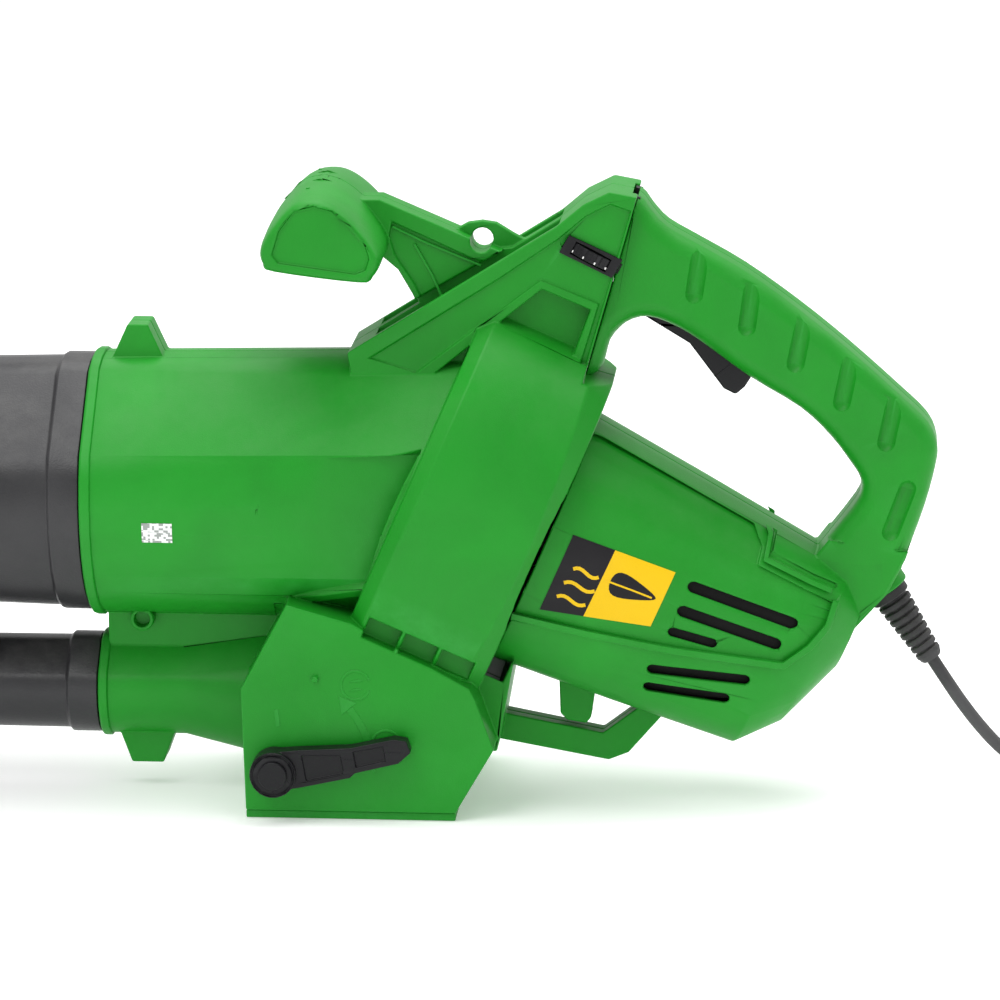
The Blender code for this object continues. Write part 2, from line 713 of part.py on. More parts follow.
def vent_cutters():
    """Return the cooling slots of the motor housing, on both sides."""
    slots = [((0.167, 0.118), (0.216, 0.099), 0.0055), ((0.162, 0.106), (0.208, 0.089), 0.0055),
             ((0.157, 0.0955), (0.177, 0.0895), 0.0045), ((0.147, 0.076), (0.193, 0.071), 0.0050),
             ((0.145, 0.066), (0.183, 0.061), 0.0050)]
    cutters = []
    for side in (-1.0, 1.0):
        for start, end, width in slots:
            ends = sorted((0.030 * side, 0.075 * side))
            cutters.append(plate("vent", [vent_slot(start, end, width)], ends[0], ends[1]))
    return cutters


def rear_solid():
    """Return the rear housing's outer shape: motor housing, handle, cord boss and hook."""
    motor = motor_body("motor", FAN_REAR + GAP, 0.0)
    handle = plate("handle", [HANDLE], -GRIP_HALF_WIDTH, GRIP_HALF_WIDTH)
    bevel = handle.modifiers.new("round", "BEVEL")
    bevel.width = 0.008
    bevel.segments = 2
    bevel.limit_method = "ANGLE"
    bevel.angle_limit = math.radians(60.0)
    handle = cut(settle(handle), [seam_cutter("seam", 0.10, GAP, -0.2)])
    boss = rod("boss", RELIEF_BASE - CORD_EXIT * 0.020, RELIEF_BASE + CORD_EXIT * 0.002, 0.012)
    relief_room = rod("relief_room", RELIEF_BASE, RELIEF_BASE + CORD_EXIT * 0.050, 0.014)
    hook = plate("hook", [[(0.0985, 0.070), (0.0995, 0.0410), (0.1030, 0.0375),
                           (0.1125, 0.0360), (0.1150, 0.0390), (0.1185, 0.065)]], -0.007, 0.007)
    return cut(join(motor, [handle, boss, hook]), [relief_room])


def rear_hollow():
    """Return the space inside the rear housing, with its screw bosses left standing."""
    motor = motor_body("motor_hollow", FAN_REAR - 0.010, WALL)
    inner = offset_outline(list(reversed(HANDLE[2:29])), WALL)
    neck_front = [(0.1140, 0.2320), (0.1300, 0.2980), (0.1430, 0.2950)]
    handle = plate("handle_hollow", [neck_front + list(reversed(inner))],
                   WALL - GRIP_HALF_WIDTH, GRIP_HALF_WIDTH - WALL)
    slot = plate("trigger_slot", [[(0.1265, 0.2440), (0.1310, 0.2360), (0.1600, 0.2200),
                                   (0.1980, 0.2020), (0.2000, 0.2170), (0.1750, 0.2400),
                                   (0.1400, 0.2560), (0.1280, 0.2520)]],
                 -TRIGGER_HALF_WIDTH - FIT, TRIGGER_HALF_WIDTH + FIT)
    flange = rod("flange_pocket", RELIEF_BASE - CORD_EXIT * 0.0103,
                 RELIEF_BASE - CORD_EXIT * 0.0057, 0.0093)
    neck = rod("neck", RELIEF_BASE - CORD_EXIT * 0.006, RELIEF_BASE + CORD_EXIT * 0.002,
               0.0065 + GAP)
    lead_way = rod("lead_way", RELIEF_BASE - CORD_EXIT * 0.040, RELIEF_BASE - CORD_EXIT * 0.010,
                   0.0075)
    hollow = join(motor, [handle, flange, neck, lead_way, slot])
    bosses = []
    for along, across in REAR_SCREWS:
        place = motor_point(along, across)
        bosses.append(rod("boss", place - SIDE * 0.08, place + SIDE * 0.08, 0.005, sides=16))
    return cut(hollow, bosses)


# ---------------------------------------------------------------- screws


def screw_hole(x, z, seat):
    """Return the cutter of a screw's hole and its counterbore."""
    hole = rod("hole", (x, -0.011, z), (x, seat + 0.001, z), 0.0019 + GAP, sides=12)
    bore = rod("bore", (x, seat, z), (x, 0.09, z), SCREW_HEAD_RADIUS + GAP, sides=16)
    return join(hole, [bore])


def screw(name, x, z, seat):
    """Return a screw whose head sits at a counterbore's floor."""
    profile = [(0.0, 0.0032), (SCREW_HEAD_RADIUS - 0.001, 0.0032), (SCREW_HEAD_RADIUS, 0.0020),
               (SCREW_HEAD_RADIUS, 0.0), (0.0019, 0.0), (0.0019, -0.0125), (0.0008, -0.0150),
               (0.0, -0.0150)]
    return turned(name, profile, (x, seat + GAP, z), (0.0, 1.0, 0.0), STEEL, PARTS, 12)


# ---------------------------------------------------------------- assemblies

def build_housings():
    """Make the four housing halves and the base frame."""
    front = cut(front_solid(), front_hollow())
    rail = plate("rail", [rail_outline()], -RAIL_HALF_WIDTH, RAIL_HALF_WIDTH)
    front = join(front, [rail])
    motor_room = motor_body("motor_room", FAN_REAR + GAP / 3.0, -GAP)
    front = cut(front, [seam_cutter("front_seam", 0.0, 0.0, 0.05), motor_room])
    front = cut(front, [screw_hole(x, z, SEAT) for x, z in FRONT_SCREWS.values()])
    half(front, "front_housing_left", -1.0)
    half(front, "front_housing_right", 1.0)
    bpy.data.objects.remove(front)
    rear = cut(rear_solid(), [rear_hollow()] + vent_cutters())
    holes = []
    for along, across in REAR_SCREWS:
        place = motor_point(along, across)
        holes.append(screw_hole(place.x, place.z, REAR_SEAT))
    pin = rod("pin_hole", TRIGGER_PIVOT - SIDE * 0.0195, TRIGGER_PIVOT + SIDE * 0.0195,
              0.002 + GAP, sides=16)
    rear = cut(rear, holes + [pin, dial_slot_cutter()])
    half(rear, "rear_housing_left", -1.0)
    half(rear, "rear_housing_right", 1.0)
    bpy.data.objects.remove(rear)
    frame = box("base_frame", (-0.053, 0.002 - BLOCK_HALF_WIDTH, 0.0),
                (0.051, BLOCK_HALF_WIDTH - 0.002, FRAME_THICKNESS), BLACK, PARTS)
    windows = [box("window", (PORT_FRONT, -PORT_HALF_WIDTH, -0.01),
                   (-0.005, PORT_HALF_WIDTH, 0.01)),
               box("window", (0.005, -PORT_HALF_WIDTH, -0.01),
                   (PORT_REAR, PORT_HALF_WIDTH, 0.01))]
    cut(frame, windows)


def build_screws():
    """Make the housing screws."""
    for name, (x, z) in FRONT_SCREWS.items():
        screw(name, x, z, SEAT)
    for index, (along, across) in enumerate(REAR_SCREWS):
        place = motor_point(along, across)
        screw(f"motor_screw_{index + 1}", place.x, place.z, REAR_SEAT)


def oval_ring(x, radius, height, wide, tall):
    """Return a duct ring stretched sideways and upwards."""
    ring = []
    for point in duct_ring(x, radius, height):
        ring.append(Vector((x, point.y * wide, height + (point.z - height) * tall)))
    return ring


def build_tube(name, stations, height):
    """Make one hollow tube from (x, radius, wide, tall) stations."""
    outer = []
    inner = []
    for x, radius, wide, tall in stations:
        outer.append(oval_ring(x, radius, height, wide, tall))
        inner.append(grown([outer[-1]], -TUBE_WALL, height)[0])
    pipe(name, outer, inner, BLACK)


def tube_stations(front, spigot, radius, end_radius):
    """Return the stations of a tube: spigot, stop collar and a slow taper."""
    collar = radius + 0.0018
    return [(front + 0.028, spigot, 1.0, 1.0), (front - GAP, spigot, 1.0, 1.0),
            (front - GAP - 0.0002, collar, 1.0, 1.0), (front - 0.015, collar, 1.0, 1.0),
            (front - 0.0165, radius, 1.0, 1.0), (front - TUBE_SECTION, end_radius, 1.0, 1.0)]


def radius_at(stations, x):
    """Return a tube's outer radius at x, between its stations."""
    for rear, front in zip(stations, stations[1:]):
        if front[0] <= x <= rear[0]:
            share = (rear[0] - x) / (rear[0] - front[0])
            return rear[1] + (front[1] - rear[1]) * share
    return stations[-1][1]


def build_bridge(name, x, upper, lower):
    """Make the rib that keeps the two tubes apart at x."""
    high = DUCT_HEIGHT - radius_at(upper, x) - BRIDGE_GAP
    low = BLOW_HEIGHT + radius_at(lower, x) + BRIDGE_GAP
    box(name, (x - 0.008, -0.010, low), (x + 0.008, 0.010, high), BLACK, PARTS)


def build_tubes():
    """Make the twin tubes and the bridges between them."""
    duct_bore = DUCT_RADIUS - WALL
    joint = DUCT_FRONT - TUBE_SECTION
    wide_end = duct_bore - TUBE_TAPER
    suction_rear = tube_stations(DUCT_FRONT, duct_bore - 0.0006, duct_bore, wide_end)
    build_tube("suction_tube_rear", suction_rear, DUCT_HEIGHT)
    suction_front = tube_stations(joint, wide_end - TUBE_WALL - 0.0006, wide_end - 0.001,
                                  wide_end - TUBE_TAPER)
    build_tube("suction_tube_front", suction_front, DUCT_HEIGHT)
    blow_bore = BLOW_RADIUS - WALL
    blow_end = blow_bore - 0.0005
    blow_front = DUCT_FRONT + 0.002
    blower_rear = tube_stations(blow_front, blow_bore - 0.0006, blow_bore + 0.0007, blow_end)
    build_tube("blower_tube_rear", blower_rear, BLOW_HEIGHT)
    nozzle = tube_stations(blow_front - TUBE_SECTION, blow_end - TUBE_WALL - 0.0006,
                           blow_end - 0.001, blow_end - 0.003)
    tip = nozzle.pop()
    nozzle += [(tip[0] + 0.120, tip[1] + 0.001, 1.0, 1.0), (tip[0], tip[1], 1.75, 0.62)]
    build_tube("blower_nozzle", nozzle, BLOW_HEIGHT)
    build_bridge("tube_bridge_rear", DUCT_FRONT - 0.166, suction_rear, blower_rear)
    build_bridge("tube_bridge_front", joint - 0.070, suction_front, nozzle)


def build_wheels():
    """Make the guide wheels under the nozzle, with their axle and its holder."""
    x = AXLE_X
    axle = Vector((x, 0.0, WHEEL_RADIUS))
    reach = WHEEL_HALF_TRACK + WHEEL_WIDTH / 2.0 + 0.002
    rod("wheel_axle", axle - SIDE * reach, axle + SIDE * reach, AXLE_RADIUS, STEEL, PARTS, 16)
    top = BLOW_HEIGHT - BLOW_RADIUS + HOLDER_RISE
    holder = plate("axle_holder", [[(x - 0.010, 0.0125), (x + 0.010, 0.0125), (x + 0.016, top),
                                    (x - 0.016, top)]], -0.024, 0.024, BLACK, PARTS)
    hole = rod("hole", axle - SIDE * 0.03, axle + SIDE * 0.03, AXLE_RADIUS + GAP, sides=16)
    cut(holder, [hole])
    half_width = WHEEL_WIDTH / 2.0
    profile = [(WHEEL_RADIUS - 0.002, half_width), (WHEEL_RADIUS, half_width - 0.002),
               (WHEEL_RADIUS, 0.002 - half_width), (WHEEL_RADIUS - 0.002, -half_width),
               (AXLE_RADIUS + FIT, -half_width), (AXLE_RADIUS + FIT, half_width)]
    for name, side in (("guide_wheel_left", -1.0), ("guide_wheel_right", 1.0)):
        centre = axle + SIDE * side * WHEEL_HALF_TRACK
        turned(name, profile, centre, (0.0, 1.0, 0.0), BLACK, PARTS, 28, ring=True)
        start = axle + SIDE * side * (reach + GAP)
        end = start + SIDE * side * 0.0025
        rod(name.replace("guide_wheel", "axle_cap"), start, end, 0.0055, BLACK, PARTS, 16)


def bored(thing, start, end, radius):
    """Return a piece bored along the motor axis."""
    return cut(thing, [rod("bore", motor_point(start, 0.0), motor_point(end, 0.0), radius,
                           sides=24)])


def build_fan():
    """Make the impeller, its nut, the shaft and the plate behind the fan."""
    hub = turned("impeller", [(0.0, 0.028), (0.013, 0.028), (0.013, 0.0225),
                              (IMPELLER_RADIUS, 0.0225), (IMPELLER_RADIUS, 0.0195),
                              (0.014, 0.0195), (0.012, -0.0120), (0.0, -0.0120)],
                 FAN_CENTRE, AXIS, BLACK, PARTS, 36)
    blades = []
    for index in range(8):
        angle = 2.0 * math.pi * index / 8.0
        outward = CROSS * math.cos(angle) + SIDE * math.sin(angle)
        flank = AXIS.cross(outward) * 0.0015
        rings = []
        for reach, front in ((0.009, -0.008), (0.030, -0.0255), (IMPELLER_RADIUS - 0.001, -0.0255)):
            base = FAN_CENTRE + outward * reach
            rings.append([base + flank + AXIS * 0.0205, base - flank + AXIS * 0.0205,
                          base - flank + AXIS * front, base + flank + AXIS * front])
        blades.append(loft("blade", rings))
    bored(join(hub, blades), -0.02, 0.04, SHAFT_RADIUS + GAP)
    rod("rotor_shaft", motor_point(-0.0195, 0.0), motor_point(0.160, 0.0), SHAFT_RADIUS, STEEL,
        PARTS, 24)
    nut = rod("impeller_nut", motor_point(-0.0190, 0.0), motor_point(-0.0123, 0.0), 0.0075, STEEL,
              PARTS, 6)
    bored(nut, -0.03, 0.0, SHAFT_RADIUS + GAP)
    height = CHAMBER_HALF_HEIGHT - FIT
    width = CHAMBER_HALF_WIDTH - FIT
    back = loft("fan_back_plate", [fan_ring(0.0300, height, width), fan_ring(0.0335, height, width)],
                BLACK, PARTS)
    boss = rod("hub", motor_point(0.0310, 0.0), motor_point(0.0460, 0.0), 0.017)
    back = join(back, [boss])
    seat = rod("seat", motor_point(0.0370, 0.0), motor_point(0.0500, 0.0), BEARING_RADIUS + GAP)
    back = cut(back, [seat])
    bored(back, 0.02, 0.05, SHAFT_RADIUS + FIT)


def ring_piece(name, inner, outer, start, end, material, steps=24):
    """Make a ring on the motor axis."""
    profile = [(outer, end), (outer, start), (inner, start), (inner, end)]
    return turned(name, profile, FAN_CENTRE, AXIS, material, PARTS, steps, ring=True)


def build_motor():
    """Make the universal motor: stator, rotor, bearings, end cap and brushes."""
    bore = SHAFT_RADIUS + GAP
    ring_piece("bearing_front", bore, BEARING_RADIUS, 0.0373, 0.0373 + BEARING_WIDTH, STEEL)
    ring_piece("bearing_rear", bore, BEARING_RADIUS, 0.1517, 0.1517 + BEARING_WIDTH, STEEL)
    ring_piece("motor_stator", STATOR_BORE, STATOR_RADIUS, 0.062, 0.062 + STATOR_LENGTH, LAMINATION,
               32)
    middle = 0.062 + STATOR_LENGTH / 2.0
    half_length = STATOR_LENGTH / 2.0
    profile = [(0.0100, half_length + 0.008), (0.0190, half_length + 0.006),
               (0.0220, half_length), (ARMATURE_RADIUS, half_length - 0.001),
               (ARMATURE_RADIUS, 0.001 - half_length), (0.0220, -half_length),
               (0.0190, -half_length - 0.006), (0.0100, -half_length - 0.008),
               (bore, -half_length - 0.008), (bore, half_length + 0.008)]
    turned("armature", profile, motor_point(middle, 0.0), AXIS, COPPER, PARTS, 24, ring=True)
    ring_piece("air_guide", GUIDE_RADIUS - 0.002, GUIDE_RADIUS, 0.1190, 0.1600, BLACK, 32)
    ring_piece("commutator", bore, COMMUTATOR_RADIUS, 0.1300, 0.1460, COPPER, 24)
    cap_radius = GUIDE_RADIUS - 0.0025
    profile = [(cap_radius, 0.1535), (cap_radius, 0.1500), (bore + GAP, 0.1500),
               (bore + GAP, 0.1514), (BEARING_RADIUS + GAP, 0.1514),
               (BEARING_RADIUS + GAP, 0.1600), (0.0150, 0.1600), (0.0150, 0.1535)]
    turned("motor_end_cap", profile, FAN_CENTRE, AXIS, BLACK, PARTS, 24, ring=True)
    for side, word in ((-1.0, "left"), (1.0, "right")):
        start = COMMUTATOR_RADIUS + GAP
        corners = []
        for along, across in ((0.1345, -0.004), (0.1415, -0.004), (0.1415, 0.004), (0.1345, 0.004)):
            point = motor_point(along, across)
            corners.append((point.x, point.z))
        ends = sorted((start * side, 0.030 * side))
        plate("carbon_brush_" + word, [corners], ends[0], ends[1], CARBON, PARTS)
        outer = []
        inner = []
        for along, across in ((-1.0, -1.0), (1.0, -1.0), (1.0, 1.0), (-1.0, 1.0)):
            point = motor_point(0.1380 + along * 0.0059, across * 0.0064)
            outer.append((point.x, point.z))
            point = motor_point(0.1380 + along * (0.0035 + GAP), across * (0.004 + GAP))
            inner.append((point.x, point.z))
        ends = sorted((0.0170 * side, 0.0310 * side))
        plate("brush_holder_" + word, [outer, inner], ends[0], ends[1], BLACK, PARTS)


def build_controls():
    """Make the trigger, its pin, spring and switch, the speed dial and the electrics."""
    trigger = plate("trigger", [[(0.1285, 0.2462), (0.1390, 0.2455), (0.1630, 0.2310),
                                 (0.1800, 0.2085), (0.1860, 0.2055), (0.1905, 0.2095),
                                 (0.1945, 0.2160), (0.1905, 0.2270), (0.1700, 0.2405),
                                 (0.1500, 0.2530), (0.1410, 0.2590), (0.1320, 0.2590)]],
                    -TRIGGER_HALF_WIDTH, TRIGGER_HALF_WIDTH, BLACK, PARTS)
    hole = rod("hole", TRIGGER_PIVOT - SIDE * 0.02, TRIGGER_PIVOT + SIDE * 0.02, 0.002 + GAP,
               sides=16)
    cut(trigger, [hole])
    rod("trigger_pin", TRIGGER_PIVOT - SIDE * 0.0190, TRIGGER_PIVOT + SIDE * 0.0190, 0.002, STEEL,
        PARTS, 16)
    coil = []
    for step in range(25):
        angle = 2.0 * math.pi * step / 8.0
        y = TRIGGER_HALF_WIDTH + 0.0013 + 0.0030 * step / 24.0
        coil.append(TRIGGER_PIVOT + Vector((0.0028 * math.cos(angle), y, 0.0028 * math.sin(angle))))
    wire("trigger_spring", coil, 0.0008, STEEL)
    plate("trigger_switch", [[(0.1560, 0.2640), (0.1570, 0.2600), (0.1780, 0.2480),
                              (0.1860, 0.2600), (0.1650, 0.2740)]], -0.0075, 0.0075, BLACK, PARTS)
    reach = DIAL_AXIS * (DIAL_WIDTH / 2.0)
    dial = rod("speed_dial", DIAL_CENTRE - reach, DIAL_CENTRE + reach, DIAL_RADIUS, BLACK, PARTS, 40)
    hub_hole = rod("hub_hole", DIAL_CENTRE - reach * 1.1, DIAL_CENTRE + reach * 0.4, 0.0025,
                   sides=16)
    cut(dial, [hub_hole])
    box("speed_potentiometer", (0.1065, -0.0150, 0.2625), (0.1165, -0.0050, 0.2710), BOARD, PARTS)
    plate("speed_board", [[(0.1220, 0.2620), (0.1280, 0.2600), (0.1370, 0.2910),
                           (0.1310, 0.2960)]], 0.0090, 0.0106, BOARD, PARTS)
    plate("suppression_capacitor", [[(0.2560, 0.1640), (0.2720, 0.1600), (0.2760, 0.1780),
                                     (0.2600, 0.1820)]], -0.0080, 0.0080, YELLOW, PARTS)
    lead = [RELIEF_BASE - CORD_EXIT * 0.0105, RELIEF_BASE - CORD_EXIT * 0.0160,
            RELIEF_BASE - CORD_EXIT * 0.0220, (0.2470, 0.0050, 0.1330),
            (0.2560, 0.0120, 0.1480), (0.2650, 0.0128, 0.1640),
            (0.2660, 0.0125, 0.1820), (0.2530, 0.0120, 0.2000), (0.2300, 0.0100, 0.2200),
            (0.2050, 0.0070, 0.2400), (0.1880, 0.0020, 0.2535)]
    wire("internal_lead", smooth_path(lead, 28), 0.0045, RUBBER)


def build_diverter():
    """Make the flap, its shaft, the mode lever and the lever's cap."""
    rod("flap_shaft", LEVER_PIVOT - SIDE * (BLOCK_HALF_WIDTH + 0.0130),
        LEVER_PIVOT + SIDE * (BLOCK_HALF_WIDTH - 0.0060), FLAP_SHAFT_RADIUS, STEEL, PARTS, 24)
    reach = BLOCK_HALF_WIDTH - WALL
    sleeve = rod("diverter_flap", LEVER_PIVOT - SIDE * (reach - 0.002),
                 LEVER_PIVOT + SIDE * (reach - 0.004), 0.0065, BLACK, PARTS, 24)
    along = Vector((math.cos(FLAP_SLOPE), 0.0, math.sin(FLAP_SLOPE)))
    up = Vector((-along.z, 0.0, along.x)) * 0.00125
    corners = [LEVER_PIVOT + along * 0.004 - up, LEVER_PIVOT + along * FLAP_LENGTH - up,
               LEVER_PIVOT + along * FLAP_LENGTH + up, LEVER_PIVOT + along * 0.004 + up]
    leaf = plate("leaf", [[(point.x, point.z) for point in corners]], 0.003 - reach,
                 reach - 0.005)
    sleeve = join(sleeve, [leaf])
    bore = rod("bore", LEVER_PIVOT - SIDE * 0.07, LEVER_PIVOT + SIDE * 0.07,
               FLAP_SHAFT_RADIUS + GAP, sides=24)
    cut(sleeve, [bore])
    inner = -BLOCK_HALF_WIDTH - FIT
    knob = rod("mode_lever", LEVER_PIVOT + SIDE * inner, LEVER_PIVOT + SIDE * (inner - 0.0130),
               0.0115, BLACK, PARTS, 32)
    along = Vector((math.cos(LEVER_SLOPE), 0.0, math.sin(LEVER_SLOPE)))
    up = Vector((-along.z, 0.0, along.x))
    outline = []
    for reach, height in ((-0.002, -0.0090), (0.012, -0.0090), (0.037, -0.0080), (0.040, -0.0060),
                          (0.062, -0.0045), (LEVER_REACH, 0.0000), (LEVER_REACH - 0.001, 0.0060),
                          (0.062, 0.0080), (0.040, 0.0070), (0.014, 0.0100), (-0.002, 0.0110)):
        point = LEVER_PIVOT + along * reach + up * height
        outline.append((point.x, point.z))
    arm = plate("lever_arm", [outline], inner - 0.0105, inner - 0.0015)
    knob = join(knob, [arm])
    bore = rod("bore", LEVER_PIVOT - SIDE * 0.09, LEVER_PIVOT - SIDE * 0.05,
               FLAP_SHAFT_RADIUS + GAP, sides=24)
    cut(knob, [bore])
    cap = LEVER_PIVOT + SIDE * (inner - 0.0130 - GAP)
    rod("lever_cap", cap, cap - SIDE * 0.0020, 0.0070, BLACK, PARTS, 24)


def build_cord():
    """Make the strain relief, its clamp, the free cord and the plug."""
    profile = [(0.0, RELIEF_LENGTH), (0.0050, RELIEF_LENGTH), (0.0060, RELIEF_LENGTH - 0.003)]
    ribs = 6
    pitch = (RELIEF_LENGTH - 0.009) / ribs
    for index in range(ribs):
        top = RELIEF_LENGTH - 0.004 - index * pitch
        radius = 0.0062 + 0.0028 * (index + 1) / ribs
        profile += [(radius, top), (radius, top - pitch * 0.6), (radius - 0.0016, top - pitch * 0.7),
                    (radius - 0.0016, top - pitch * 0.95)]
    profile += [(0.0100, 0.0045), (0.0100, GAP), (0.0065, GAP), (0.0065, -0.0062),
                (0.0088, -0.0062), (0.0088, -0.0098), (0.0, -0.0098)]
    turned("strain_relief", profile, RELIEF_BASE, CORD_EXIT, RUBBER, PARTS, 16)
    profile = [(0.0065, -0.0140), (0.0065, -0.0180), (0.0026, -0.0180), (0.0026, -0.0140)]
    turned("cord_clamp", profile, RELIEF_BASE, CORD_EXIT, BLACK, PARTS, 16, ring=True)
    wire("cord", smooth_path(CORD_ROUTE, 40), CORD_DIAMETER, RUBBER)
    end = Vector(CORD_ROUTE[-1])
    way = (end - Vector(CORD_ROUTE[-2])).normalized()
    way.z = 0.0
    way.normalize()
    start = end + way * GAP
    profile = [(0.0, PLUG_LENGTH), (PLUG_RADIUS - 0.001, PLUG_LENGTH),
               (PLUG_RADIUS, PLUG_LENGTH - 0.001), (PLUG_RADIUS, PLUG_LENGTH - 0.010),
               (0.0100, 0.0120), (0.0060, 0.0040), (0.0050, 0.0), (0.0, 0.0)]
    turned("plug", profile, start, way, RUBBER, PARTS, 24)
    across = way.cross(UP)
    face = start + way * (PLUG_LENGTH + GAP)
    for side, word in ((-1.0, "left"), (1.0, "right")):
        foot = face + across * (0.0095 * side)
        rod("plug_pin_" + word, foot, foot + way * 0.019, 0.0024, STEEL, PARTS, 16)


build_housings()
build_screws()
build_tubes()
build_wheels()
build_fan()
build_motor()
build_controls()
build_diverter()
build_cord()
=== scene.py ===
"""Finishes and detailed shells of a corded leaf blower and garden vacuum.

Frame: metres, +X to the rear handle, +Y to the machine's right, +Z up, and the origin in
the middle of the flat base that the machine rests on.
"""

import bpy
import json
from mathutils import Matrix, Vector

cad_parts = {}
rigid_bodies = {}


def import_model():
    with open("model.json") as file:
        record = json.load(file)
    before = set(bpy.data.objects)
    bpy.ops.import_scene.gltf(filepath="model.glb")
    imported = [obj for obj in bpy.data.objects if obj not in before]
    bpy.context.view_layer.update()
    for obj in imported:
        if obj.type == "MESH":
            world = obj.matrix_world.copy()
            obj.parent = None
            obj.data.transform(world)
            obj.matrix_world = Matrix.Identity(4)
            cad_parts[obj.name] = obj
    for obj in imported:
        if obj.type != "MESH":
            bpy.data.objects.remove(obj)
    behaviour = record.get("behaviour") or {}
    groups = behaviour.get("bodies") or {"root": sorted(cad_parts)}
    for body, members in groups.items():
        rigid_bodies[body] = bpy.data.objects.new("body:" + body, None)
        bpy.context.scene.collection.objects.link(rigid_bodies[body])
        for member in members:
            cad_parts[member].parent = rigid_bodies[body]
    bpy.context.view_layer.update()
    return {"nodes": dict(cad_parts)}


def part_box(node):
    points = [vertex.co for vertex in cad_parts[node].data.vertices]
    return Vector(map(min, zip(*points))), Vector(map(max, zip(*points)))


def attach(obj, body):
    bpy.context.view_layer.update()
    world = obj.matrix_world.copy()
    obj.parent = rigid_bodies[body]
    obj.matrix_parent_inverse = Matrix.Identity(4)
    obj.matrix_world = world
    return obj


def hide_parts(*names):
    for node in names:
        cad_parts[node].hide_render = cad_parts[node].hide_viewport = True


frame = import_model()

import json
import logging
import math
from contextlib import contextmanager
from dataclasses import dataclass, field
from enum import Enum
from typing import Iterator, Sequence

import bpy
from mathutils import Matrix, Vector
from mathutils.bvhtree import BVHTree

LOG = logging.getLogger("leaf_blower")

Outline = Sequence[tuple[float, float]]
Colour = tuple[float, float, float]

TILT = math.radians(23.5)
FAN_CENTRE = Vector((0.057, 0.0, 0.147))
AXIS = Vector((math.cos(TILT), 0.0, -math.sin(TILT)))
CROSS = Vector((math.sin(TILT), 0.0, math.cos(TILT)))
SIDE = Vector((0.0, 1.0, 0.0))
SIDES = {"left": -1.0, "right": 1.0}
SMOOTH_ANGLE = math.radians(38.0)     # edges sharper than this stay crisp

# Seam between the bracket and the grip, and the speed dial
SEAM_LOW = Vector((0.1120, 0.2170))
SEAM_HIGH = Vector((0.1375, 0.3070))
DIAL_AXIS = Vector((0.46, 0.0, 0.888)).normalized()
DIAL_CENTRE = Vector((0.115, 0.0180 - 0.0025 - 0.028, 0.2775))


class Body(Enum):
    """The bodies of the frame that a piece can ride on."""

    HOUSING = "housing"
    DIVERTER = "diverter"
    TRIGGER = "trigger"
    DIAL = "speed_dial"
    ROTOR = "rotor"
    WHEEL_LEFT = "wheel_left"
    WHEEL_RIGHT = "wheel_right"


class Slot(Enum):
    """The record's material slots."""

    GREEN = "green_plastic"
    BLACK = "black_plastic"
    RUBBER = "black_rubber"


class Merge(Enum):
    """How a tool changes the piece that it meets."""

    CUT = "DIFFERENCE"
    ADD = "UNION"
    KEEP = "INTERSECT"


# ---------------------------------------------------------------- shared effects

class Graph:
    """A node tree under construction, for a material or for a shared effect."""

    def __init__(self, tree: bpy.types.NodeTree) -> None:
        """Keep the tree that the nodes go into."""
        self.tree = tree

    def node(self, kind: str, inputs: dict | None = None, **settings: object) -> bpy.types.Node:
        """Add a node.

        Args:
            kind: The node's type.
            inputs: Values and links of its sockets, by name or number.
            settings: Attributes of the node.

        Returns:
            The new node.
        """
        node = self.tree.nodes.new(kind)
        for name, value in settings.items():
            setattr(node, name, value)
        for key, value in (inputs or {}).items():
            if isinstance(value, bpy.types.NodeSocket):
                self.tree.links.new(value, node.inputs[key])
            else:
                node.inputs[key].default_value = value
        return node

    def maths(self, operation: str, *values: object) -> bpy.types.NodeSocket:
        """Return the result of a Math node on the given values."""
        node = self.node("ShaderNodeMath", dict(enumerate(values)), operation=operation)
        return node.outputs[0]

    def span(self, value: object, low: float, high: float, start: float = 0.0,
             end: float = 1.0) -> bpy.types.NodeSocket:
        """Return a value moved from one range to another, held inside it."""
        node = self.node("ShaderNodeMapRange", {0: value, 1: low, 2: high, 3: start, 4: end})
        return node.outputs[0]

    def blend(self, factor: object, first: object, second: object,
              mode: str = "MIX") -> bpy.types.NodeSocket:
        """Return two colours mixed by a factor."""
        node = self.node("ShaderNodeMix", data_type="RGBA", blend_type=mode)
        for socket, value in ((0, factor), (6, first), (7, second)):
            if isinstance(value, bpy.types.NodeSocket):
                self.tree.links.new(value, node.inputs[socket])
            else:
                node.inputs[socket].default_value = value
        return node.outputs[2]


def new_effect(name: str, inputs: dict[str, float | None],
               outputs: Sequence[str]) -> tuple[Graph, bpy.types.Node, bpy.types.Node]:
    """Start a shared effect.

    Args:
        name: The effect's name.
        inputs: Its number inputs and their defaults; None makes a vector input.
        outputs: The names of its number outputs.

    Returns:
        The effect's graph, its input node and its output node.
    """
    tree = bpy.data.node_groups.new(name, "ShaderNodeTree")
    for label, value in inputs.items():
        kind = "NodeSocketVector" if value is None else "NodeSocketFloat"
        socket = tree.interface.new_socket(label, in_out="INPUT", socket_type=kind)
        if value is not None:
            socket.default_value = value
    for label in outputs:
        tree.interface.new_socket(label, in_out="OUTPUT", socket_type="NodeSocketFloat")
    graph = Graph(tree)
    return graph, graph.node("NodeGroupInput"), graph.node("NodeGroupOutput")


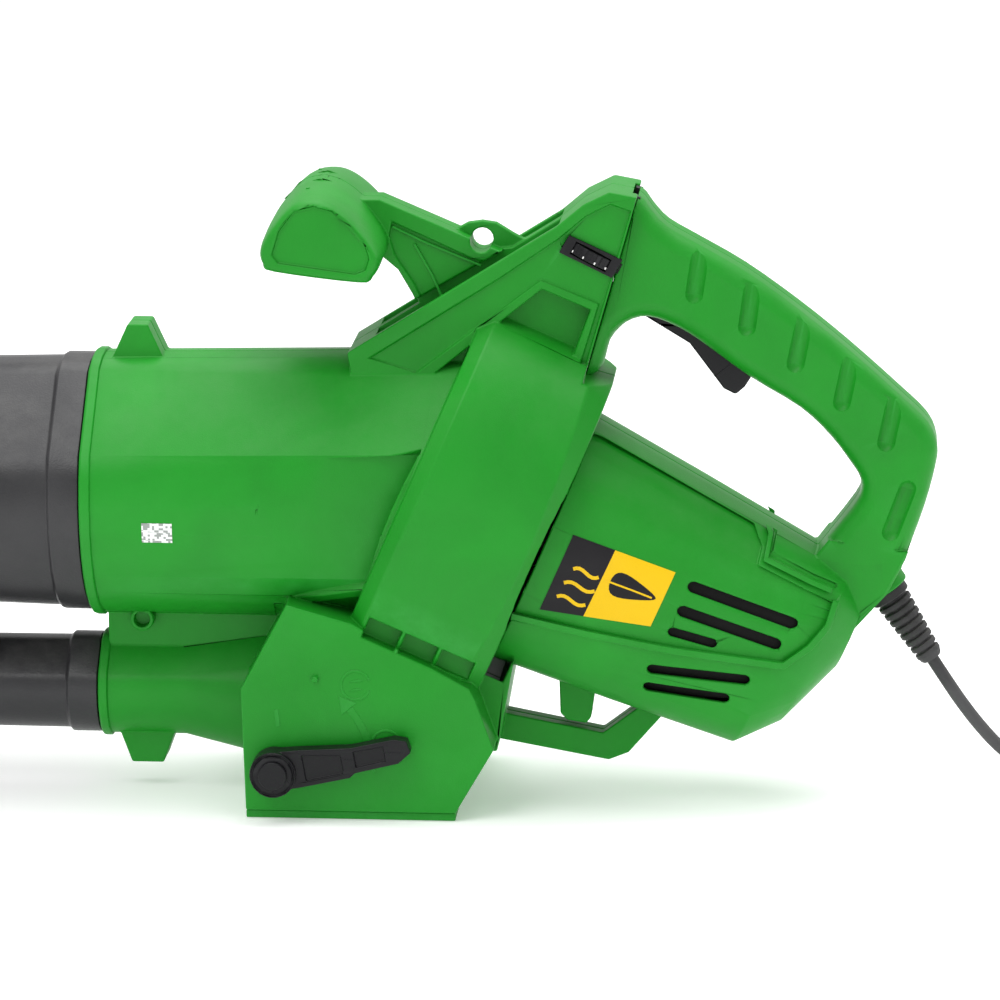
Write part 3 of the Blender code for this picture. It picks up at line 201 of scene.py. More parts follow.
def moulded_grain() -> bpy.types.NodeTree:
    """Make the fine spark texture of a steel mould, over a slow ripple of the wall."""
    graph, given, result = new_effect("moulded_grain", {"Place": None, "Fineness": 1800.0,
                                                        "Ripple": 0.25}, ["Height", "Speckle"])
    fine = graph.node("ShaderNodeTexNoise", {"Vector": given.outputs["Place"],
                                             "Scale": given.outputs["Fineness"],
                                             "Detail": 3.0, "Roughness": 0.62})
    pits = graph.node("ShaderNodeTexVoronoi", {"Vector": given.outputs["Place"],
                                               "Scale": given.outputs["Fineness"]},
                      feature="SMOOTH_F1")
    slow = graph.node("ShaderNodeTexNoise", {"Vector": given.outputs["Place"], "Scale": 34.0,
                                             "Detail": 2.0})
    small = graph.maths("MULTIPLY_ADD", pits.outputs["Distance"], 0.5, fine.outputs[0])
    ripple = graph.maths("MULTIPLY", slow.outputs[0], given.outputs["Ripple"])
    height = graph.maths("ADD", small, ripple)
    speckle = graph.span(fine.outputs[0], 0.35, 0.65)
    graph.tree.links.new(height, result.inputs["Height"])
    graph.tree.links.new(speckle, result.inputs["Speckle"])
    return graph.tree


def edge_wear_and_hollow_shade() -> bpy.types.NodeTree:
    """Make the mask of rubbed edges, broken up by noise, and the mask of painted shade that
    darkens hollow corners.
    """
    graph, given, result = new_effect("edge_wear_and_hollow_shade", {"Place": None, "Amount": 0.5},
                                      ["Worn", "HollowShade"])
    point = graph.node("ShaderNodeNewGeometry").outputs["Pointiness"]
    patches = graph.node("ShaderNodeTexNoise", {"Vector": given.outputs["Place"], "Scale": 70.0,
                                                "Detail": 6.0, "Roughness": 0.7})
    rubbed = graph.span(point, 0.515, 0.60)
    broken = graph.span(patches.outputs[0], 0.38, 0.62, 0.25, 1.0)
    amount = given.outputs["Amount"]
    worn = graph.maths("MULTIPLY", graph.maths("MULTIPLY", rubbed, broken), amount)
    # painted shade: concave corners are marked to be darkened, standing in for the shade that
    # falls there
    hollow = graph.span(point, 0.485, 0.42)
    hollow_shade = graph.maths("MULTIPLY", graph.maths("MULTIPLY", hollow, broken), amount)
    graph.tree.links.new(worn, result.inputs["Worn"])
    graph.tree.links.new(hollow_shade, result.inputs["HollowShade"])
    return graph.tree


def settled_dust() -> bpy.types.NodeTree:
    """Make the mask of fine dust that lies on faces that look up, and of handling marks."""
    graph, given, result = new_effect("settled_dust", {"Place": None, "Amount": 0.3},
                                      ["Dust", "Smudge"])
    normal = graph.node("ShaderNodeNewGeometry").outputs["Normal"]
    up = graph.node("ShaderNodeSeparateXYZ", {0: normal}).outputs[2]
    film = graph.node("ShaderNodeTexNoise", {"Vector": given.outputs["Place"], "Scale": 26.0,
                                             "Detail": 9.0, "Roughness": 0.75})
    lying = graph.maths("MULTIPLY", graph.span(up, 0.15, 1.0, 0.12, 1.0),
                        graph.span(film.outputs[0], 0.40, 0.72))
    dust = graph.maths("MULTIPLY", lying, given.outputs["Amount"])
    marks = graph.node("ShaderNodeTexNoise", {"Vector": given.outputs["Place"], "Scale": 11.0,
                                              "Detail": 5.0, "Distortion": 1.2})
    smudge = graph.span(marks.outputs[0], 0.42, 0.66)
    graph.tree.links.new(dust, result.inputs["Dust"])
    graph.tree.links.new(smudge, result.inputs["Smudge"])
    return graph.tree


def drawn_lines() -> bpy.types.NodeTree:
    """Make the fine lines of drawn, ground or stacked metal along one direction."""
    graph, given, result = new_effect("drawn_lines", {"Place": None, "Fineness": 900.0},
                                      ["Lines", "Tarnish"])
    lines = graph.node("ShaderNodeTexNoise", {"Vector": given.outputs["Place"],
                                              "Scale": given.outputs["Fineness"], "Detail": 2.0})
    tarnish = graph.node("ShaderNodeTexNoise", {"Vector": given.outputs["Place"], "Scale": 45.0,
                                                "Detail": 7.0, "Roughness": 0.68})
    graph.tree.links.new(graph.span(lines.outputs[0], 0.3, 0.7), result.inputs["Lines"])
    graph.tree.links.new(graph.span(tarnish.outputs[0], 0.35, 0.7), result.inputs["Tarnish"])
    return graph.tree


EFFECTS: dict[str, bpy.types.NodeTree] = {
    tree.name: tree for tree in (moulded_grain(), edge_wear_and_hollow_shade(), settled_dust(), drawn_lines())}


def rgba(colour: Colour, gain: float = 1.0) -> tuple[float, float, float, float]:
    """Return a colour with its brightness scaled and a full alpha."""
    return (*(min(1.0, part * gain) for part in colour), 1.0)


@dataclass(frozen=True)
class Finish:
    """What every finish shares: a name, a colour and a roughness."""

    name: str
    colour: Colour
    roughness: float

    def start(self) -> tuple[Graph, bpy.types.Node, bpy.types.NodeSocket, bpy.types.Material]:
        """Return a new material's graph, its shader, its Object coordinates and itself."""
        material = bpy.data.materials.new(self.name)
        material.use_nodes = True
        graph = Graph(material.node_tree)
        shader = material.node_tree.nodes["Principled BSDF"]
        place = graph.node("ShaderNodeTexCoord").outputs["Object"]
        return graph, shader, place, material

    def effect(self, graph: Graph, name: str, place: bpy.types.NodeSocket,
               **values: float) -> bpy.types.Node:
        """Place a shared effect in a material with its own values."""
        node = graph.node("ShaderNodeGroup", node_tree=EFFECTS[name])
        graph.tree.links.new(place, node.inputs["Place"])
        for label, value in values.items():
            node.inputs[label].default_value = value
        return node

    def bump(self, graph: Graph, shader: bpy.types.Node, height: bpy.types.NodeSocket,
             distance: float, strength: float = 1.0) -> None:
        """Feed a height to the shader's normal."""
        node = graph.node("ShaderNodeBump", {"Height": height, "Distance": distance,
                                             "Strength": strength})
        graph.tree.links.new(node.outputs[0], shader.inputs["Normal"])


@dataclass(frozen=True)
class MouldedPlastic(Finish):
    """Injection-moulded plastic with a spark texture, rubbed edges, painted shade in its hollows
    and a little dust.
    """

    fineness: float = 1700.0
    grain: float = 0.00005
    # how strong the rubbed edges and the painted shade in hollows are
    wear_and_shade: float = 0.5
    dust: float = 0.2
    edge: Colour = (0.30, 0.62, 0.32)
    sheen: float = 0.45

    def build(self) -> bpy.types.Material:
        """Return the material."""
        graph, shader, place, material = self.start()
        link = graph.tree.links.new
        grain = self.effect(graph, "moulded_grain", place, Fineness=self.fineness)
        wear_and_shade = self.effect(graph, "edge_wear_and_hollow_shade", place, Amount=self.wear_and_shade)
        dust = self.effect(graph, "settled_dust", place, Amount=self.dust)
        flow = graph.node("ShaderNodeTexNoise", {"Vector": place, "Scale": 16.0, "Detail": 4.0,
                                                 "Distortion": 0.8})
        tone = graph.blend(graph.span(flow.outputs[0], 0.3, 0.7), rgba(self.colour, 0.90),
                           rgba(self.colour, 1.10))
        speckled = graph.blend(graph.maths("MULTIPLY", grain.outputs["Speckle"], 0.22), tone,
                               rgba(self.colour, 1.20))
        # painted shade: hollow corners take a darker copy of the plastic's own colour
        hollow_shaded = graph.blend(wear_and_shade.outputs["HollowShade"], speckled, rgba(self.colour, 0.35))
        worn = graph.blend(wear_and_shade.outputs["Worn"], hollow_shaded, rgba(self.edge))
        dusty = graph.blend(dust.outputs["Dust"], worn, (0.55, 0.54, 0.50, 1.0))
        link(dusty, shader.inputs["Base Color"])
        gloss = graph.span(dust.outputs["Smudge"], 0.0, 1.0, self.roughness - 0.04,
                           self.roughness + 0.06)
        rough = graph.maths("ADD", gloss, graph.maths("MULTIPLY", dust.outputs["Dust"], 0.35))
        rough = graph.maths("ADD", rough, graph.maths("MULTIPLY", grain.outputs["Speckle"], 0.05))
        link(rough, shader.inputs["Roughness"])
        shader.inputs["Specular IOR Level"].default_value = self.sheen
        self.bump(graph, shader, grain.outputs["Height"], self.grain)
        return material


@dataclass(frozen=True)
class SoftRubber(Finish):
    """Flexible PVC or rubber: matt, with a bloom and fine drag marks."""

    bloom: Colour = (0.06, 0.06, 0.062)

    def build(self) -> bpy.types.Material:
        """Return the material."""
        graph, shader, place, material = self.start()
        link = graph.tree.links.new
        grain = self.effect(graph, "moulded_grain", place, Fineness=2400.0, Ripple=0.4)
        dust = self.effect(graph, "settled_dust", place, Amount=0.35)
        base = graph.blend(dust.outputs["Smudge"], rgba(self.colour), rgba(self.bloom))
        dusty = graph.blend(dust.outputs["Dust"], base, (0.22, 0.21, 0.19, 1.0))
        link(dusty, shader.inputs["Base Color"])
        rough = graph.span(grain.outputs["Speckle"], 0.0, 1.0, self.roughness - 0.06,
                           self.roughness + 0.08)
        link(rough, shader.inputs["Roughness"])
        shader.inputs["Specular IOR Level"].default_value = 0.35
        self.bump(graph, shader, grain.outputs["Height"], 0.00007)
        return material


@dataclass(frozen=True)
class Metal(Finish):
    """Turned, drawn or stacked metal with fine lines across it, a light tarnish and painted shade
    in its hollows.
    """

    tarnish: Colour = (0.25, 0.22, 0.18)
    fineness: float = 700.0
    stretch: tuple[float, float, float] = (1.0, 1.0, 0.06)
    depth: float = 0.00003

    def build(self) -> bpy.types.Material:
        """Return the material."""
        graph, shader, place, material = self.start()
        link = graph.tree.links.new
        drawn = graph.node("ShaderNodeMapping", {"Vector": place, "Rotation": (0.0, TILT, 0.0),
                                                 "Scale": self.stretch}).outputs[0]
        lines = self.effect(graph, "drawn_lines", drawn, Fineness=self.fineness)
        wear_and_shade = self.effect(graph, "edge_wear_and_hollow_shade", place, Amount=0.4)
        tone = graph.blend(graph.maths("MULTIPLY", lines.outputs["Lines"], 0.35),
                           rgba(self.colour), rgba(self.colour, 0.6))
        aged = graph.blend(graph.maths("MULTIPLY", lines.outputs["Tarnish"], 0.30), tone,
                           rgba(self.tarnish))
        # painted shade: hollow corners go nearly black
        hollow_shaded = graph.blend(wear_and_shade.outputs["HollowShade"], aged, (0.03, 0.03, 0.03, 1.0))
        link(hollow_shaded, shader.inputs["Base Color"])
        rough = graph.span(lines.outputs["Tarnish"], 0.0, 1.0, self.roughness,
                           self.roughness + 0.22)
        link(rough, shader.inputs["Roughness"])
        shader.inputs["Metallic"].default_value = 1.0
        self.bump(graph, shader, lines.outputs["Lines"], self.depth, 0.6)
        return material


@dataclass(frozen=True)
class Laminate(Finish):
    """Board laminate or pressed carbon: a woven or sintered speckle."""

    thread: Colour = (0.05, 0.28, 0.12)
    pitch: float = 1500.0

    def build(self) -> bpy.types.Material:
        """Return the material."""
        graph, shader, place, material = self.start()
        link = graph.tree.links.new
        grain = self.effect(graph, "moulded_grain", place, Fineness=self.pitch)
        dust = self.effect(graph, "settled_dust", place, Amount=0.4)
        woven = graph.blend(grain.outputs["Speckle"], rgba(self.colour), rgba(self.thread))
        link(graph.blend(dust.outputs["Dust"], woven, (0.3, 0.29, 0.27, 1.0)),
             shader.inputs["Base Color"])
        link(graph.span(dust.outputs["Smudge"], 0.0, 1.0, self.roughness, self.roughness + 0.12),
             shader.inputs["Roughness"])
        self.bump(graph, shader, grain.outputs["Height"], 0.00004)
        return material


@dataclass(frozen=True)
class PrintedFilm(Finish):
    """Printed sticker film: a plain ink over a faint screen pattern and soft scuffs."""

    screen: float = 2600.0

    def build(self) -> bpy.types.Material:
        """Return the material."""
        graph, shader, place, material = self.start()
        link = graph.tree.links.new
        dots = graph.node("ShaderNodeTexVoronoi", {"Vector": place, "Scale": self.screen})
        dust = self.effect(graph, "settled_dust", place, Amount=0.25)
        ink = graph.blend(graph.span(dots.outputs["Distance"], 0.15, 0.6), rgba(self.colour, 0.94),
                          rgba(self.colour))
        scuffed = graph.blend(graph.maths("MULTIPLY", dust.outputs["Smudge"], 0.02), ink,
                              (0.6, 0.6, 0.6, 1.0))
        link(scuffed, shader.inputs["Base Color"])
        link(graph.span(dust.outputs["Smudge"], 0.0, 1.0, self.roughness, self.roughness + 0.1),
             shader.inputs["Roughness"])
        shader.inputs["Specular IOR Level"].default_value = 0.22
        self.bump(graph, shader, dots.outputs["Distance"], 0.00001)
        return material


@dataclass(frozen=True)
class CodePatch(Finish):
    """A small white sticker with a fine printed block pattern."""

    cell: float = 900.0

    def build(self) -> bpy.types.Material:
        """Return the material."""
        graph, shader, place, material = self.start()
        link = graph.tree.links.new
        grid = graph.node("ShaderNodeVectorMath", {0: place, 1: (1.0 / self.cell,) * 3},
                          operation="SNAP")
        cells = graph.node("ShaderNodeTexWhiteNoise", {"Vector": grid.outputs[0]})
        dust = self.effect(graph, "settled_dust", place, Amount=0.2)
        ink = graph.maths("GREATER_THAN", cells.outputs["Value"], 0.60)
        printed = graph.blend(graph.maths("MULTIPLY", ink, 0.75), rgba(self.colour),
                              (0.12, 0.15, 0.13, 1.0))
        link(printed, shader.inputs["Base Color"])
        link(graph.span(dust.outputs["Smudge"], 0.0, 1.0, self.roughness, self.roughness + 0.1),
             shader.inputs["Roughness"])
        return material


class Palette:
    """All finishes of the machine, built once."""

    def __init__(self) -> None:
        """Build every material."""
        self.green = MouldedPlastic("green_housing_plastic", (0.006, 0.240, 0.011), 0.44,
                                    dust=0.04, wear_and_shade=0.35, edge=(0.04, 0.36, 0.06),
                                    sheen=0.26).build()
        self.black = MouldedPlastic("black_moulded_plastic", (0.0045, 0.0045, 0.006), 0.36,
                                    fineness=1500.0, wear_and_shade=0.4, dust=0.02,
                                    edge=(0.03, 0.03, 0.034), sheen=0.24).build()
        self.tube = MouldedPlastic("black_tube_plastic", (0.016, 0.016, 0.018), 0.34,
                                   fineness=1100.0, grain=0.00009, wear_and_shade=0.4, dust=0.10,
                                   edge=(0.06, 0.06, 0.065), sheen=0.45).build()
        # painted shade: a near-black plastic for the sheet behind the vents, standing in for the
        # shade inside the motor housing
        self.screen = MouldedPlastic("vent_shade_plastic", (0.006, 0.006, 0.006), 0.70,
                                     wear_and_shade=0.2, dust=0.05, edge=(0.02, 0.02, 0.02),
                                     sheen=0.15).build()
        self.rubber = SoftRubber("black_cord_rubber", (0.016, 0.016, 0.017), 0.55).build()
        self.wheel = SoftRubber("wheel_tread_rubber", (0.020, 0.020, 0.020), 0.68,
                                bloom=(0.09, 0.088, 0.083)).build()
        self.steel = Metal("zinc_plated_steel", (0.62, 0.62, 0.63), 0.28).build()
        self.lamination = Metal("stacked_core_steel", (0.34, 0.34, 0.36), 0.42,
                                tarnish=(0.16, 0.10, 0.06), fineness=2200.0,
                                stretch=(1.0, 0.02, 0.02), depth=0.0002).build()
        self.copper = Metal("enamelled_copper", (0.80, 0.36, 0.20), 0.30,
                            tarnish=(0.30, 0.10, 0.04), fineness=1800.0,
                            stretch=(0.04, 1.0, 1.0), depth=0.0003).build()
        self.carbon = Laminate("pressed_carbon", (0.03, 0.03, 0.03), 0.70,
                               thread=(0.10, 0.08, 0.06)).build()
        self.board = Laminate("board_laminate", (0.02, 0.16, 0.07), 0.38).build()
        self.capacitor = PrintedFilm("capacitor_film", (0.80, 0.52, 0.04), 0.35).build()
        self.label_dark = PrintedFilm("label_black_ink", (0.006, 0.005, 0.007), 0.38).build()
        self.label_bright = PrintedFilm("label_yellow_ink", (0.80, 0.50, 0.001), 0.38).build()
        self.mark = PrintedFilm("label_white_ink", (0.80, 0.80, 0.78), 0.35).build()
        self.patch = CodePatch("white_code_sticker", (0.82, 0.84, 0.83), 0.35).build()


# ---------------------------------------------------------------- modelling by operator

def activate(thing: bpy.types.Object) -> None:
    """Select one object alone and make it the active one."""
    for other in list(bpy.context.view_layer.objects.selected):
        other.select_set(False)
    bpy.context.view_layer.objects.active = thing
    thing.select_set(True)


@contextmanager
def editing(thing: bpy.types.Object) -> Iterator[None]:
    """Hold one object in edit mode with all of its mesh selected."""
    activate(thing)
    bpy.ops.object.mode_set(mode="EDIT")
    bpy.ops.mesh.select_all(action="SELECT")
    yield
    bpy.ops.object.mode_set(mode="OBJECT")


def settle(thing: bpy.types.Object) -> bpy.types.Object:
    """Apply an object's modifiers and its place, and return it."""
    activate(thing)
    for modifier in list(thing.modifiers):
        bpy.ops.object.modifier_apply(modifier=modifier.name)
    bpy.ops.object.transform_apply(location=True, rotation=True, scale=True)
    return thing


def tidy_mesh(thing: bpy.types.Object, distance: float = 1e-6) -> bpy.types.Object:
    """Merge doubled points and turn all faces outwards."""
    with editing(thing):
        if distance > 1e-6:
            bpy.ops.mesh.quads_convert_to_tris()
            bpy.ops.mesh.dissolve_degenerate(threshold=distance)
        bpy.ops.mesh.remove_doubles(threshold=min(distance, 1e-5))
        bpy.ops.mesh.select_all(action="SELECT")
        bpy.ops.mesh.normals_make_consistent(inside=False)
    return thing


def new_object(name: str, points: Sequence, edges: Sequence, faces: Sequence) -> bpy.types.Object:
    """Return a new object made of the given points, edges and faces."""
    mesh = bpy.data.meshes.new(name)
    mesh.from_pydata([tuple(point) for point in points], edges, faces)
    thing = bpy.data.objects.new(name, mesh)
    bpy.context.scene.collection.objects.link(thing)
    return thing


def block(name: str, low: Sequence[float], high: Sequence[float]) -> bpy.types.Object:
    """Return a cube primitive set between two corners."""
    low, high = Vector(low), Vector(high)
    bpy.ops.mesh.primitive_cube_add(size=1.0, location=(low + high) / 2.0, scale=high - low)
    thing = bpy.context.object
    thing.name = name
    return settle(thing)


def rod(name: str, start: Sequence[float], end: Sequence[float], radius: float,
        sides: int = 48, tip: float | None = None) -> bpy.types.Object:
    """Return a cylinder or cone primitive between two points.

    Args:
        name: The object's name.
        start: The middle of its first end.
        end: The middle of its second end.
        radius: Its radius at the start.
        sides: The number of its sides.
        tip: Its radius at the end, where that differs.

    Returns:
        The new object.
    """
    start, end = Vector(start), Vector(end)
    turn = (end - start).to_track_quat("Z", "Y").to_euler()
    bpy.ops.mesh.primitive_cone_add(vertices=sides, radius1=radius,
                                    radius2=radius if tip is None else tip,
                                    depth=(end - start).length, location=(start + end) / 2.0,
                                    rotation=turn)
    thing = bpy.context.object
    thing.name = name
    return settle(thing)


def capsule(name: str, start: Sequence[float], end: Sequence[float],
            radius: float) -> bpy.types.Object:
    """Return a rod with round ends, made from a cylinder and two balls."""
    thing = rod(name, start, end, radius, 24)
    for point in (start, end):
        bpy.ops.mesh.primitive_uv_sphere_add(segments=24, ring_count=12, radius=radius,
                                             location=point)
        thing = combine(thing, [settle(bpy.context.object)], Merge.ADD)
    return thing


def slab(name: str, outline: Outline, low: float, high: float) -> bpy.types.Object:
    """Return a side outline extruded along Y between two distances."""
    points = [(x, low, z) for x, z in outline]
    thing = new_object(name, points, [], [list(range(len(points)))])
    with editing(thing):
        bpy.ops.mesh.extrude_region_move(TRANSFORM_OT_translate={"value": (0.0, high - low, 0.0)})
        bpy.ops.mesh.select_all(action="SELECT")
        bpy.ops.mesh.normals_make_consistent(inside=False)
    return thing


def loft(name: str, rings: Sequence[Sequence[Vector]]) -> bpy.types.Object:
    """Return a closed solid bridged through rings of points."""
    count = len(rings[0])
    points = [point for ring in rings for point in ring]
    faces = []
    for row in range(len(rings) - 1):
        for index in range(count):
            after = (index + 1) % count
            faces.append((row * count + index, row * count + after,
                          (row + 1) * count + after, (row + 1) * count + index))
    faces.append(list(range(count)))
    faces.append([(len(rings) - 1) * count + index for index in range(count)])
    return tidy_mesh(new_object(name, points, [], faces))


def turned(name: str, profile: Outline, base: Sequence[float], direction: Sequence[float],
           steps: int = 64, ring: bool = False) -> bpy.types.Object:
    """Spin a profile into a turned piece.

    Args:
        name: The object's name.
        profile: (radius, height) pairs, one after another.
        base: The point on the axis at height zero.
        direction: The way that the axis points.
        steps: How many steps the spin takes.
        ring: True where the profile closes on itself.

    Returns:
        The new object.
    """
    points = [(radius, 0.0, height) for radius, height in profile]
    edges = [(index, index + 1) for index in range(len(points) - 1)]
    if ring:
        edges.append((len(points) - 1, 0))
    thing = new_object(name, points, edges, [])
    with editing(thing):
        bpy.ops.mesh.spin(steps=steps, angle=2.0 * math.pi, center=(0.0, 0.0, 0.0),
                          axis=(0.0, 0.0, 1.0))
        bpy.ops.mesh.select_all(action="SELECT")
        bpy.ops.mesh.remove_doubles(threshold=1e-6)
        bpy.ops.mesh.select_all(action="SELECT")
        bpy.ops.mesh.normals_make_consistent(inside=False)
    turn = Vector((0.0, 0.0, 1.0)).rotation_difference(Vector(direction)).to_matrix().to_4x4()
    thing.matrix_world = Matrix.Translation(Vector(base)) @ turn
    return settle(thing)


def swept(name: str, points: Sequence[Vector], radius: float,
          resolution: int = 4) -> bpy.types.Object:
    """Return a round wire along points, as a mesh with filled ends."""
    curve = bpy.data.curves.new(name, "CURVE")
    curve.dimensions = "3D"
    curve.bevel_depth = radius
    curve.bevel_resolution = resolution
    curve.use_fill_caps = True
    spline = curve.splines.new("POLY")
    spline.points.add(len(points) - 1)
    for knot, point in zip(spline.points, points):
        knot.co = (*point, 1.0)
    thing = bpy.data.objects.new(name, curve)
    bpy.context.scene.collection.objects.link(thing)
    activate(thing)
    bpy.ops.object.convert(target="MESH")
    return tidy_mesh(bpy.context.object)


def combine(target: bpy.types.Object, tools: Sequence[bpy.types.Object],
            how: Merge, crossing: bool = False) -> bpy.types.Object:
    """Apply tools to a piece one after another, and drop them.

    Args:
        target: The piece to change.
        tools: The solids that change it.
        how: Whether they cut, add or keep.
        crossing: Whether the piece's own walls may cross each other.

    Returns:
        The changed piece.
    """
    for tool in tools:
        boolean = target.modifiers.new(how.name, "BOOLEAN")
        boolean.operation = how.value
        boolean.solver = "EXACT"
        boolean.use_self = crossing
        boolean.object = tool
        activate(target)
        bpy.ops.object.modifier_apply(modifier=boolean.name)
        bpy.data.objects.remove(tool)
    return target


def merge_all(name: str, things: Sequence[bpy.types.Object]) -> bpy.types.Object:
    """Join separate closed solids into one object."""
    activate(things[0])
    for thing in things[1:]:
        thing.select_set(True)
    if len(things) > 1:
        bpy.ops.object.join()
    joined = bpy.context.object
    joined.name = name
    return joined


def mark_sharp_edges(mesh: bpy.types.Mesh, angle: float, shortest: float) -> None:
    """Give a full bevel weight to the edges that are sharp and long enough to round.

    Args:
        mesh: The mesh.
        angle: The angle between faces over which an edge is sharp.
        shortest: The length under which an edge is left alone.
    """
    sides: dict[tuple[int, int], list[Vector]] = {}
    for face in mesh.polygons:
        for pair in face.edge_keys:
            sides.setdefault(pair, []).append(face.normal.copy())
    weights = mesh.attributes.get("bevel_weight_edge")
    if weights is None:
        weights = mesh.attributes.new("bevel_weight_edge", "FLOAT", "EDGE")
    for edge in mesh.edges:
        normals = sides.get(tuple(sorted(edge.vertices)), [])
        first, second = (mesh.vertices[index].co for index in edge.vertices)
        sharp = len(normals) == 2 and normals[0].angle(normals[1], 0.0) > angle
        weights.data[edge.index].value = float(sharp and (first - second).length > shortest)


def soften(thing: bpy.types.Object, width: float, segments: int = 2,
           angle: float = 32.0) -> bpy.types.Object:
    """Round a piece's edges and give flat faces flat shading.

    Args:
        thing: The piece.
        width: The width of the round.
        segments: How many faces the round has.
        angle: The angle in degrees over which an edge is rounded.

    Returns:
        The piece, with every point still next to the shape it had before.
    """
    mesh = thing.data
    before = BVHTree.FromPolygons([vertex.co.copy() for vertex in mesh.vertices],
                                  [tuple(face.vertices) for face in mesh.polygons])
    mark_sharp_edges(mesh, math.radians(angle), width * 0.9)
    bevel = thing.modifiers.new("edges", "BEVEL")
    bevel.width = width
    bevel.segments = segments
    bevel.limit_method = "WEIGHT"
    bevel.use_clamp_overlap = False
    bevel.loop_slide = False
    settle(thing)
    for vertex in thing.data.vertices:
        place, _, _, distance = before.find_nearest(vertex.co)
        if distance > width * 0.75:
            vertex.co = place
    bpy.ops.object.shade_smooth_by_angle(angle=SMOOTH_ANGLE)
    weighted = thing.modifiers.new("shading", "WEIGHTED_NORMAL")
    weighted.keep_sharp = True
    return settle(thing)


def reshade(thing: bpy.types.Object) -> bpy.types.Object:
    """Give a piece smooth shading with crisp edges after a late cut."""
    activate(thing)
    bpy.ops.mesh.customdata_custom_splitnormals_clear()
    bpy.ops.object.shade_smooth_by_angle(angle=SMOOTH_ANGLE)
    weighted = thing.modifiers.new("shading", "WEIGHTED_NORMAL")
    weighted.keep_sharp = True
    return settle(thing)


def copy_of(node: str, merge: float = 0.00001) -> bpy.types.Object:
    """Return a merged copy of a CAD node.

    Args:
        node: The node's name.
        merge: The distance under which points are merged.

    Returns:
        The copy, as an object of its own.
    """
    source = frame["nodes"][node]
    thing = bpy.data.objects.new(node + "_shell", source.data.copy())
    bpy.context.scene.collection.objects.link(thing)
    thing.data.materials.clear()
    with editing(thing):
        bpy.ops.mesh.customdata_custom_splitnormals_clear()
        bpy.ops.mesh.remove_doubles(threshold=merge)
        bpy.ops.mesh.select_all(action="SELECT")
        bpy.ops.mesh.normals_make_consistent(inside=False)
    return thing


def dress(thing: bpy.types.Object, material: bpy.types.Material, slot: Slot, body: Body,
          *nodes: str) -> bpy.types.Object:
    """Give a piece its finish and the body it rides on, and hide the nodes it stands for."""
    thing.data.materials.clear()
    thing.data.materials.append(material)
    if nodes:
        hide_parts(*nodes)
    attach(thing, body.value)
    LOG.info("%s: %d faces on %s", thing.name, len(thing.data.polygons), body.value)
    return thing


def along_motor(along: float, across: float, side: float = 0.0) -> Vector:
    """Return a point given along the motor axis, across it and to the side."""
    return FAN_CENTRE + AXIS * along + CROSS * across + SIDE * side


def mirrored(outline: Outline) -> Outline:
    """Return an outline in the opposite order."""
    return list(reversed(outline))


def ribbon(points: Outline, width: float) -> list[tuple[float, float]]:
    """Return the outline of a band of one width along an open line of points."""
    left = []
    right = []
    for index, point in enumerate(points):
        here = Vector(point)
        before = Vector(points[max(index - 1, 0)])
        after = Vector(points[min(index + 1, len(points) - 1)])
        first = (here - before).normalized() if index else (after - here).normalized()
        second = (after - here).normalized() if index < len(points) - 1 else first
        bisector = (Vector((-first.y, first.x)) + Vector((-second.y, second.x)))
        normal = bisector.normalized()
        reach = width / 2.0 / max(0.4, normal.dot(Vector((-second.y, second.x))))
        left.append(tuple(here + normal * reach))
        right.append(tuple(here - normal * reach))
    return left + list(reversed(right))


def arc(centre: tuple[float, float], radius: float, start: float, end: float,
        steps: int) -> list[tuple[float, float]]:
    """Return points along an arc, with its angles in degrees."""
    points = []
    for step in range(steps + 1):
        angle = math.radians(start + (end - start) * step / steps)
        points.append((centre[0] + radius * math.cos(angle), centre[1] + radius * math.sin(angle)))
    return points


def rounded_outline(knots: Outline, steps: int = 4,
                    closed: bool = True) -> list[tuple[float, float]]:
    """Return a smooth line through knots, with a few points between each two of them."""
    count = len(knots)
    result = []
    for index in range(count if closed else count - 1):
        picks = [index - 1, index, index + 1, index + 2]
        if not closed:
            picks = [min(max(pick, 0), count - 1) for pick in picks]
        first, second, third, fourth = (Vector(knots[pick % count]) for pick in picks)
        for step in range(steps):
            part = step / steps
            curve = 2 * second + (third - first) * part
            curve += (2 * first - 5 * second + 4 * third - fourth) * part ** 2
            curve += (3 * second - first - 3 * third + fourth) * part ** 3
            result.append(tuple(curve / 2.0))
    if not closed:
        result.append(tuple(knots[-1]))
    return result


def inset_outline(outline: Outline, inset: float) -> list[tuple[float, float]]:
    """Return a clockwise outline drawn in by an inset."""
    result = []
    count = len(outline)
    for index, point in enumerate(outline):
        here = Vector(point)
        before = Vector(outline[index - 1])
        after = Vector(outline[(index + 1) % count])
        along = (after - before).normalized()
        result.append(tuple(here + Vector((along.y, -along.x)) * inset))
    return result


def round_over(thing: bpy.types.Object, distance: float, width: float,
               segments: int) -> bpy.types.Object:
    """Round the edges of a slab that lie at one distance from the parting plane.

    Args:
        thing: The slab.
        distance: How far the edges are from the parting plane.
        width: The width of the round.
        segments: How many faces the round has.

    Returns:
        The rounded slab.
    """
    mesh = thing.data
    weights = mesh.attributes.new("bevel_weight_edge", "FLOAT", "EDGE")
    for edge in mesh.edges:
        ends = [abs(mesh.vertices[index].co.y) for index in edge.vertices]
        weights.data[edge.index].value = float(min(ends) > distance - 1e-5)
    bevel = thing.modifiers.new("round", "BEVEL")
    bevel.width = width
    bevel.segments = segments
    bevel.limit_method = "WEIGHT"
    bevel.use_clamp_overlap = False
    bevel.loop_slide = False
    settle(thing)
    for edge_weight in thing.data.attributes["bevel_weight_edge"].data:
        edge_weight.value = 0.0
    return thing


def both_ways(near: float, far: float, side: float) -> tuple[float, float]:
    """Return two distances from the parting plane, on one side, in rising order."""
    return tuple(sorted((near * side, far * side)))


# ---------------------------------------------------------------- front housing

